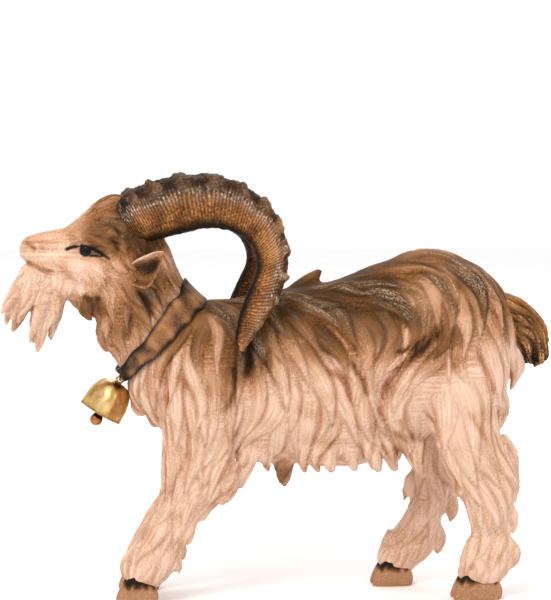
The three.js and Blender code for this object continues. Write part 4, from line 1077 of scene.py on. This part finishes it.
def makeHead():
    shells = [shellOf(sectionRings(head["skull"], 60, 48)), shellOf(sectionRings(head["neck"], 40, 48))]
    shells += tuftShells(head)
    coords, quads, pairs = roughBlock("head", shells, head["grain"], 9)
    normals = normalsOf(coords, quads)
    zero = np.zeros(len(coords))
    carved, lines = carve(coords, normals, head["strokes"], zero.copy(), zero.copy())
    coords = coords + normals * carved[:, None]
    normals, relief, darkeningAndShade, strand, tint = hairOver(coords, quads, pairs, headHair)
    lie = flattened(coords)
    face = ramp(-47, -51, coords[:, 0]) * ramp(77, 79, coords[:, 2])
    darkeningAndShade = darkeningAndShade * (1 - 0.55 * face) + 0.95 * lines
    relief = relief * lie * (1 - 0.8 * face)
    coords = coords + normals * relief[:, None]
    coords = clearOfBell(coords, np.linspace(0, frame["joints"][0]["range_deg"][1], 6), (0, 0, 0.1))
    coords = spreadOut(coords, pairs, 1, 0.2)
    eye = head["eye"]
    side = np.abs(normals[:, 1]) > 0.3
    gap = np.hypot((coords[:, 0] - eye["dot"][0]), coords[:, 2] - eye["dot"][1])
    ink = 1 - ramp(eye["round"] - 0.12, eye["round"] + 0.12, gap)
    for line, half in eye["lines"]:
        gap, along = lineDistance(coords, smoothRows(line, 16))
        thin = half * (1 - 0.5 * ramp(0.6, 1, along))
        ink = np.maximum(ink, 1 - ramp(thin - 0.12, thin + 0.12, gap))
    marks = {
        "stainAndShade": stainAndShadeOf(coords, headStainAndShade) + 0.07 * tint, "darkeningAndShade": np.clip(darkeningAndShade, 0, 1), "strand": strand,
        "relief": np.clip(relief + 0.25 * (carved > 0.15), 0, 1), "ink": ink * side,
    }
    shell = (coords, quads, noTris)
    finishPiece("carved_head_and_neck", shell, marks, bodyWood, "figure", ["head_and_neck"])


makeHead()

horns = {
    "rows": [
        (-37.8, 92.6, -32.8, 84.2, -4.6, 3.4), (-36.2, 95.8, -29.8, 85.2, -4.9, 4.3),
        (-32, 97.8, -26.2, 86.2, -5.3, 4.4),
        (-26, 99.6, -22, 87.2, -5.9, 4.4), (-18.8, 100.4, -17.6, 88.2, -6.6, 4.3),
        (-11.6, 99.6, -13.6, 88.2, -7.5, 4.2),
        (-6.6, 97.2, -9.8, 87, -8.6, 4), (-2.2, 93.4, -7.2, 84.8, -9.8, 3.8),
        (0.5, 88.4, -5.9, 82, -11.2, 3.6),
        (1.6, 83, -5.8, 79, -12.6, 3.4), (1.0, 77.2, -7.2, 75.5, -14, 3.0),
        (-1.3, 71.2, -9.0, 71.3, -15, 2.5),
        (-4.6, 66.2, -10.4, 66.8, -15.6, 2.0), (-7.4, 62.4, -10.9, 62.7, -16, 1.4),
        (-9.0, 60.1, -10.2, 60.3, -16.2, 0.7),
    ],
    "knobs": 13, "knobHeight": 0.75, "stepHeight": 0.14, "rings": 92, "ringHeight": 0.11,
}


def sided(rows, side):
    return np.array(rows) * [1, 1, 1, 1, side, 1]


def withEnds(values):
    # A value for each of the shell's points: those of the rings, then the mean of each end ring.
    return np.concatenate([values.ravel(), [values[0].mean(), values[-1].mean()]])


def makeHorn(side, name):
    # Oval rings along the bend. Knobs swell the outer edge where a sine along the length is positive, on a
    # crest that stands a step above the flank; fine growth rings cross the flank; the last fifth is smooth.
    count, around = 520, 84
    rings = sectionRings(sided(horns["rows"], side), count, around, 0.88)
    middle = rings.mean(1, keepdims=True)
    out = rings - middle
    out /= np.linalg.norm(out, axis=2, keepdims=True)
    t = np.linspace(0, 1, count)[:, None]
    angle = np.linspace(0, 2 * np.pi, around, endpoint=False)[None]
    u = np.cos(angle)
    flat = rings.reshape(-1, 3)
    wobble = patches(flat, 5, 31).reshape(count, around)
    wave = np.sin(2 * np.pi * horns["knobs"] * t + 0.5 * (1 - u) + 0.7 * wobble)
    wave = 0.8 * wave + 0.35 * np.sin(2 * np.pi * horns["knobs"] * 2.3 * t + 2 * wobble)
    young = 1 - ramp(0.7, 0.84, t)
    crest = ramp(0.38, 0.62, u + 0.08 * wave)
    knob = np.maximum(wave, 0) ** 0.7 * ramp(0.35, 0.95, u)
    fine = np.sin(2 * np.pi * horns["rings"] * t + 1.6 * wobble + 0.6 * np.sin(angle * 3))
    flank = ramp(-0.95, -0.3, u) * (1 - 0.6 * crest) * (1 - 0.5 * ramp(0.8, 0.95, t))
    lump = patches(flat, 2.2, 32).reshape(count, around)
    rise = horns["knobHeight"] * knob * young + horns["stepHeight"] * crest * young
    rise = rise + horns["ringHeight"] * fine * flank + 0.08 * lump + 0.06 * wave * flank
    rings = rings + out * rise[..., None]
    band = ramp(-0.05, 0.3, u) * (1 - crest) * (0.35 + 0.65 * ramp(-0.2, 0.7, fine))
    # From the middle of the bend on, the crest's knobs take more dry-brush colour: partly real dry-brush, partly
    # a painted sheen on the bend.
    outer = crest * (0.3 + 0.7 * ramp(0.45, 0.65, t)) * ramp(-0.2, 0.8, wave + 0.5 * lump)
    high = (band + 0.8 * outer) * (1 - 0.6 * ramp(0.75, 0.95, t))
    edge = np.exp(-(((u - 0.42) / 0.08) ** 2)) * young
    # Painted shade: towards the inner, lower edge of the arch (u near -1) both the darkening and the stain rise,
    # as the horn's underside in shadow.
    darkeningAndShade = 0.15 + 0.6 * (0.5 - 0.5 * fine) * flank + 0.5 * edge + 0.75 * ramp(-0.55, -0.95, u)
    darkeningAndShade = darkeningAndShade + 0.6 * crest * ramp(0.2, -0.6, wave) * young
    stainAndShade = 0.58 - 0.22 * np.exp(-(((u + 0.15) / 0.4) ** 2)) + 0.5 * ramp(-0.45, -0.9, u)
    stainAndShade = stainAndShade + 0.3 * crest * ramp(0.7, 0.5, t) + 0.14 * wobble
    # Painted highlight: the stain is lighter round t = 0.56, a sheen on the outer bend.
    stainAndShade = stainAndShade - 0.22 * np.exp(-(((t - 0.56) / 0.12) ** 2))
    stainAndShade = stainAndShade - 0.12 * ramp(0.88, 0.98, t) + 0.35 * ramp(0.09, 0.0, t)
    length = 110
    along = np.stack([angle * 3 + 0 * t, t * length + 0 * angle, wobble], 2)
    strand = np.vstack([along.reshape(-1, 3), [[0, 0, 0], [0, length, 0]]])
    marks = {
        "stainAndShade": withEnds(stainAndShade), "darkeningAndShade": np.clip(withEnds(darkeningAndShade), 0, 1),
        "relief": np.clip(withEnds(high), 0, 1), "strand": strand,
    }
    shell = shellOf(rings)
    finishPiece("carved_horn_" + name, shell, marks, hornWood, "figure", ["horn_" + name])


ears = {
    "rows": [
        (-37.2, 79.2, -36.8, 77.0, -5.4, 1.5), (-34.9, 80.0, -34.9, 75.6, -7.6, 1.4),
        (-33.4, 81.2, -33.4, 74.8, -8.6, 1.3),
        (-31.0, 82.4, -31.0, 74.6, -9.6, 1.15), (-28.8, 83.2, -29.0, 77.4, -10.6, 0.9),
        (-27.2, 83.2, -27.4, 81.6, -11.2, 0.4),
    ],
    "cup": 1.7, "fold": 0.35,
}


def makeEar(side, name):
    # A leaf of rings, pressed in between its rims by cup * (1 - |u|^2.6), less inside, and with a fold.
    count, around = 70, 72
    rings = sectionRings(sided(ears["rows"], side), count, around, 0.8)
    angle = np.linspace(0, 2 * np.pi, around, endpoint=False)[None]
    u, v = np.cos(angle), -np.sin(angle) * side
    t = np.linspace(0, 1, count)[:, None]
    outer = ramp(-0.15, 0.2, v * side)
    deep = ramp(0.02, 0.3, t) * (1 - 0.85 * ramp(0.75, 1.0, t))
    bowl = np.clip(1 - np.abs(u) ** 2.6, 0, 1)
    press = ears["cup"] * deep * bowl * (0.55 + 0.6 * outer)
    rings[..., 1] += side * press
    fold = np.sin(u * 5 + t * 6) * outer * bowl * deep
    rings[..., 1] -= side * ears["fold"] * np.maximum(fold, 0)
    inner = outer * bowl * deep
    # Painted shade: the stain and the darkening rise in the pressed-in cup. Painted highlight: the fold and the
    # upper rim are made paler, the rim also through the dry-brush colour.
    stainAndShade = 0.36 + 0.3 * inner * ramp(-0.6, 0.2, -u) + 0.3 * inner - 0.25 * np.maximum(fold, 0)
    stainAndShade = stainAndShade - 0.3 * ramp(0.75, 0.95, u) + 0.12 * (1 - outer)
    marks = {
        "stainAndShade": withEnds(stainAndShade), "darkeningAndShade": withEnds(np.clip(0.15 + 0.85 * inner * (0.6 - 0.5 * fold), 0, 1)),
        "relief": withEnds((1 - inner) * 0.7 * outer * ramp(0.5, 0.9, u)),
    }
    finishPiece("carved_ear_" + name, shellOf(rings), marks, bodyWood, "figure", ["ear_" + name])


for side, name in ((1, "left"), (-1, "right")):
    makeHorn(side, name)
    makeEar(side, name)

tail = {
    "grain": 0.3,
    "rows": [
        (50, 73, 49, 61.5, 0, 4.8), (56.8, 72, 55.5, 58.6, 0, 4.8), (61.8, 69, 59.6, 57, 0, 4.4),
        (65, 64.8, 62, 55.4, 0, 3.6), (65.7, 60, 62.8, 54.8, 0, 2.5), (65.2, 56.4, 63.6, 54.8, 0, 1.2),
    ],
    "tufts": [
        ([(57, -1, 60), (60.4, -1.4, 57.6), (61.6, -1.4, 56.2)], 4.6),
        ([(59, 1.6, 60), (61.6, 1.6, 57), (62.4, 1.4, 55.6)], 4.4),
        ([(62, -1.6, 62), (64.4, -1.8, 58), (64.6, -1.6, 55.2)], 4.0),
        ([(62, 1.4, 62), (65, 1.6, 58.5), (65.6, 1.2, 56)], 3.8),
        ([(55, -2, 61), (57.6, -2.4, 58.6), (58.6, -2.4, 56.0)], 4.0),
    ],
}
tailHair = {
    "name": "tail hair", "seed": 8, "tries": 6000, "reach": 2.5, "drift": (0.6, -0.8), "lean": 0.1,
    "apart": (1.2, 0.5), "swing": 0.7, "strandGap": 0.95, "strandHeight": 0.26, "cut": 1.2, "soften": 1,
    "comb": [
        [(50, 72), (56.5, 70.5), (61.5, 67.5), (64.4, 63), (65, 57)],
        [(50, 68), (56, 66.6), (60.5, 64), (63.4, 60), (64, 55)],
        [(50, 64), (56, 62.4), (59.6, 60), (61.6, 57), (62, 54)],
    ],
    "regions": [("tail", 58, 65, 9, 1.3, 14, 0.8), ("tail end", 64, 57, 3, 1.1, 8, 0.7)],
}


def makeTail():
    shells = [shellOf(sectionRings(tail["rows"], 30, 32)), *tuftShells(tail)]
    coords, quads, pairs = roughBlock("tail", shells, tail["grain"], 6)
    normals, relief, darkeningAndShade, strand, tint = hairOver(coords, quads, pairs, tailHair)
    coords = coords + normals * relief[:, None]
    stainAndShade = 0.5 + 0.12 * patches(coords, 7, 4) + 0.14 * tint + 0.5 * ramp(62, 56, coords[:, 2])
    high = np.clip(relief * 2.2, 0, 1)
    marks = {"stainAndShade": stainAndShade, "darkeningAndShade": np.clip(darkeningAndShade, 0, 1), "relief": high, "strand": strand}
    finishPiece("carved_tail", (coords, quads, noTris), marks, tailWood, "figure", ["tail"])


makeTail()


def loopedShell(grid):
    # A grid that closes on itself both ways.
    return facedOut(grid.reshape(-1, 3), gridQuads(*grid.shape[:2], closedRows=True), noTris)


def makeStrap():
    # A band round the neck: a rounded strip (share up the neck, height off it) swept round the slanted rings,
    # with edges that wander, a rolled rim at each edge and hammered dents between.
    around, across = 420, 44
    angle = np.linspace(0, 2 * np.pi, around, endpoint=False)[:, None]
    loop = np.linspace(0, 2 * np.pi, across, endpoint=False)[None]
    share = 0.5 + 0.5 * softened(np.cos(loop), 0.55)
    outer = ramp(-0.3, 0.3, np.sin(loop))
    wave = np.sin(angle * 5 + 0.8) + 0.6 * np.sin(angle * 9 + 2.1) + 0.5 * np.sin(angle * 14)
    waveTwo = np.sin(angle * 6 + 2.6) + 0.6 * np.sin(angle * 11 + 0.4)
    low, high = -0.02 + 0.05 * wave, 1.04 + 0.05 * waveTwo
    share = low + (high - low) * share
    rim = np.exp(-(((share - low) / 0.13) ** 2)) + np.exp(-(((high - share) / 0.13) ** 2))
    band = [11 * np.cos(angle) + 0 * share, 9 * np.sin(angle) + 0 * share, 5 * share]
    cloth = np.stack(band, 2).reshape(-1, 3)
    dents = (0.16 * patches(cloth, 4.2, 51) + 0.1 * patches(cloth, 1.9, 52)).reshape(share.shape)
    height = strap["inside"] + outer * (strap["thick"] * (0.86 + 0.12 * rim) + dents * (1 - 0.5 * rim))
    row = strap["lower"] + (strap["upper"] - strap["lower"]) * share[..., None]
    u, v = softened(np.cos(angle), 0.92), softened(np.sin(angle), 0.92)
    middle, arm = (row[..., 0:2] + row[..., 2:4]) / 2, (row[..., 0:2] - row[..., 2:4]) / 2
    size = np.linalg.norm(arm, axis=2)
    arm = arm * ((size + height) / size)[..., None]
    x, z = middle[..., 0] + arm[..., 0] * u, middle[..., 1] + arm[..., 1] * u
    grid = np.stack([x, (row[..., 5] + height) * v, z], 2)
    edge, front = np.clip(rim, 0, 1), ramp(-0.7, -0.97, np.cos(angle))
    patch = patches(grid.reshape(-1, 3), 6, 17).reshape(grid.shape[:2])
    marks = {
        "stainAndShade": (0.45 - 0.3 * patch + 0.55 * edge - 0.6 * dents + 0.5 * front).ravel(),
        "darkeningAndShade": np.clip(0.1 + 0.85 * edge**2 - 1.0 * dents + 0.5 * front, 0, 1).ravel(),
        "relief": np.clip(2.0 * dents + 0.35 * patch, 0, 1).ravel(),
    }
    finishPiece("collar", loopedShell(grid), marks, strapWood, "figure", ["collar_strap"])


makeStrap()


def hung(local):
    # From the hanging frame, where the bell's axis points down, to its leaning place by a turn at the staple.
    lean = bell["lean"]
    x, y, z = local[..., 0], local[..., 1], local[..., 2]
    turned = np.stack([x * np.cos(lean) + z * np.sin(lean), y, -x * np.sin(lean) + z * np.cos(lean)], -1)
    return turned + bell["pivot"]


def torusShell(radius, wire, depth, bend):
    # An eye of wire about the hinge's line: a circle carried round a circle, squeezed by the bending.
    around, across = 40, 16
    a = np.linspace(0, 2 * np.pi, around, endpoint=False)[:, None]
    b = np.linspace(0, 2 * np.pi, across, endpoint=False)[None]
    r = radius + wire * np.cos(b) + bend * np.cos(2 * a)
    return loopedShell(hung(np.stack([r * np.cos(a), wire * np.sin(b) + 0 * a, r * np.sin(a) - depth], 2)))


def makeBell():
    # Rounded-square rings down the outside, round the rim and up the inside: half size from the profile,
    # |u|^3 + |v|^3 = 1 round the ring, and a few hammered dents.
    fine = smoothRows(bell["profile"], 60)
    fine[:, 0] = np.clip(np.maximum.accumulate(fine[:, 0]), 0, 1)
    cap = np.linspace(0.02, 1, 10)
    half = bell["crown"] + (bell["mouth"] - bell["crown"]) * fine[:, 1]
    down = bell["shoulder"] + fine[:, 0] * bell["height"]
    crownDown = bell["shoulder"] - 0.22 * np.sqrt(np.clip(1 - cap**2, 0, 1))
    outHalf, outDown = np.concatenate([half[0] * cap[:-1], half]), np.concatenate([crownDown[:-1], down])
    roll = np.linspace(0, np.pi, 9)[1:-1]
    wall = bell["wall"]
    rimHalf, rimDown = half[-1] - wall / 2 + wall / 2 * np.cos(roll), down[-1] + 0.22 * np.sin(roll)
    inHalf, inDown = half[::-1] - wall, np.maximum(down[::-1], bell["shoulder"] + wall)
    innerCap = cap[::-1]
    sizes = np.concatenate([outHalf, rimHalf, inHalf, inHalf[-1] * innerCap[1:]])
    downs = np.concatenate([outDown, rimDown, inDown, np.full(len(innerCap) - 1, inDown[-1])])
    angle = np.linspace(0, 2 * np.pi, 120, endpoint=False)[None]
    u, v = softened(np.cos(angle), 2 / 3), softened(np.sin(angle), 2 / 3)
    cosine, sine = np.cos(bell["yaw"]), np.sin(bell["yaw"])
    u, v = u * cosine - v * sine, u * sine + v * cosine
    level = np.broadcast_to(-downs[:, None], (len(sizes), u.shape[1]))
    local = np.stack([sizes[:, None] * u, sizes[:, None] * v, level], 2)
    dents = patches(local.reshape(-1, 3), 5.5, 41).reshape(local.shape[:2]) * ramp(0.5, 1.6, sizes)[:, None]
    local[..., :2] *= 1 + 0.02 * dents[..., None]
    inside = np.zeros(local.shape[:2])
    inside[len(outHalf) + 4 :] = 1
    nearRim = np.exp(-(((downs - down[-1]) / 0.5) ** 2))[:, None]
    # Painted shade: the inside of the bell is darkened; the band near the rim and the hollows of the dents are
    # darkened too.
    shadeRimAndDents = 0.45 * inside + 0.12 * ramp(0.2, -0.8, dents) + 0.3 * nearRim
    shadeRimAndDents = np.concatenate([shadeRimAndDents.ravel(), [0.3, 0.5]])
    loop = torusShell(bell["loop"], bell["wire"] * 1.08, 0.0, 0.03)
    marks = {"darkeningAndShade": np.concatenate([shadeRimAndDents, np.full(len(loop[0]), 0.15)])}
    shell = joinShells([shellOf(hung(local)), loop])
    finishPiece("gilded_bell", shell, marks, goldLeaf, "bell", ["bell"])


def wireShell(path, radius, count):
    # A round wire along a smooth path with domed ends.
    share = np.linspace(0, 1, count)
    length = np.linalg.norm(np.diff(np.asarray(path, float), axis=0), axis=1).sum()
    near = np.minimum(share, 1 - share) * length / radius
    dome = np.sqrt(np.clip(1 - (1 - np.clip(near, 0, 1)) ** 2, 0.01, 1))
    return shellOf(sweptRings(path, radius * dome, count, 18))


def makeRinging():
    drop = (bell["pivot"][2] - bell["clapperPivot"][2]) / np.cos(bell["lean"])
    low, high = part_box("clapper_pin")
    reach = (high.y - low.y) / unit / 2
    pin = wireShell(hung(np.array([[0, y, -drop] for y in np.linspace(-reach, reach, 5)])), bell["wire"], 40)
    finishPiece("clapper_hanger", pin, {"darkeningAndShade": 0.3}, brassWire, "bell", ["clapper_pin"])

    # A thin stem down to a ball, with a small collar where they meet.
    wire, ball = bell["wire"], bell["ball"]
    ring, middle = wire * 2 + 0.3, drop + bell["stem"]
    stemDown = np.linspace(drop + ring, middle - ball * 0.97, 24)[:-1]
    depth = np.concatenate([stemDown, middle - ball * np.cos(np.linspace(0.25, np.pi - 0.06, 40))])
    sphere = np.sqrt(np.clip(ball**2 - (depth - middle) ** 2, 0.0016, None))
    width = np.where(depth < middle - ball * 0.96, wire, sphere)
    width = np.maximum(width, np.where(depth < middle, wire, 0.04))
    width = width + wire * np.exp(-(((depth - middle + ball) / 0.45) ** 2))
    angle = np.linspace(0, 2 * np.pi, 48, endpoint=False)[None]
    level = np.broadcast_to(-depth[:, None], (len(depth), 48))
    local = np.stack([width[:, None] * np.cos(angle), width[:, None] * np.sin(angle), level], 2)
    striker = joinShells([shellOf(hung(local)), torusShell(ring, wire, drop, 0.02)])
    worn = {"darkeningAndShade": 0.25}
    finishPiece("clapper_ball", striker, worn, copperLeaf, "clapper", ["clapper"])

    # The staple: a bow out of the strap at three tenths of its height, with both prongs going in.
    row = strap["lower"] + (strap["upper"] - strap["lower"]) * 0.3
    inward = np.array([row[0] - row[2], 0, row[1] - row[3]])
    inward /= np.linalg.norm(inward)
    side, prong = np.array([0, bell["stapleHalf"], 0]), inward * bell["prong"]
    half = [side + prong, side + prong * 0.5, side + inward * 0.35, side * 0.86]
    top = bell["pivot"]
    path = [*(top + p * [1, -1, 1] for p in half), top, *(top + p for p in half[::-1])]
    staple = wireShell(path, wire, 90)
    finishPiece("staple", staple, {"darkeningAndShade": 0.3}, brassWire, "figure", ["bell_staple"])


makeBell()
makeRinging()

studio = {
    "azimuth": -6.0, "elevation": 6.0, "distance": 0.62, "target": (0, 0, 0.05), "framed": 0.1436,
    "lift": 0.145,
    # name, place, size, power, colour
    "lamps": [
        ("key", (-0.35, -0.6, 0.75), 0.35, 4.6, "#fff8f0"), ("fill", (0.7, -0.6, 0.3), 0.6, 0.6, "#f6f8ff"),
        ("rim", (0.25, 0.7, 0.7), 0.6, 2.2, "#ffffff"),
    ],
}


def paperFloor():
    # Seamless paper: matt, pale and faintly mottled.
    finish, tree, surface, place = newFinish("paper backdrop, matt", **{"Roughness": 0.9, "IOR": 1.4})
    colour = rampOver(tree, noiseOver(tree, place, 40.0, 3.0), [(0.3, "#f8f8f8"), (0.7, "#fcfcfc")])
    plug(tree, surface, {"Base Color": colour})
    return finish


def makeStudio():
    reach, count = 1.6, 9
    x, y = np.meshgrid(np.linspace(-reach, reach, count), np.linspace(-reach, reach, count))
    coords = np.stack([x, y, 0 * x], 2).reshape(-1, 3)
    quads = gridQuads(count, count, closedCols=False)
    floor = bpy.data.objects.new("floor", meshOf("floor", coords, quads, noTris))
    floor.data.materials.append(paperFloor())
    scene.collection.objects.link(floor)
    for name, place, size, power, colour in studio["lamps"]:
        lamp = bpy.data.lights.new(name, "AREA")
        lamp.energy, lamp.size, lamp.color = power, size, linear(colour)[:3]
        light = bpy.data.objects.new(name, lamp)
        light.location = place
        light.rotation_euler = (Vector(studio["target"]) - Vector(place)).to_track_quat("-Z", "Y").to_euler()
        scene.collection.objects.link(light)
    world = bpy.data.worlds.new("studio")
    world.use_nodes = True
    world.node_tree.nodes["Background"].inputs["Color"].default_value = linear("#ffffff")
    world.node_tree.nodes["Background"].inputs["Strength"].default_value = 1.0
    scene.world = world
    scene.view_settings.view_transform = "Standard"

    turn, rise = np.radians([studio["azimuth"], studio["elevation"]])
    back = Vector((np.sin(turn) * np.cos(rise), -np.cos(turn) * np.cos(rise), np.sin(rise)))
    camera = bpy.data.cameras.new("camera")
    camera.lens = camera.sensor_width * studio["distance"] / studio["framed"]
    camera.shift_y = studio["lift"]
    camera.clip_start, camera.clip_end = 0.01, 20
    view = bpy.data.objects.new("camera", camera)
    view.location = Vector(studio["target"]) + back * studio["distance"]
    view.rotation_euler = (-back).to_track_quat("-Z", "Y").to_euler()
    scene.collection.objects.link(view)
    scene.camera = view


makeStudio()
print("studio set")
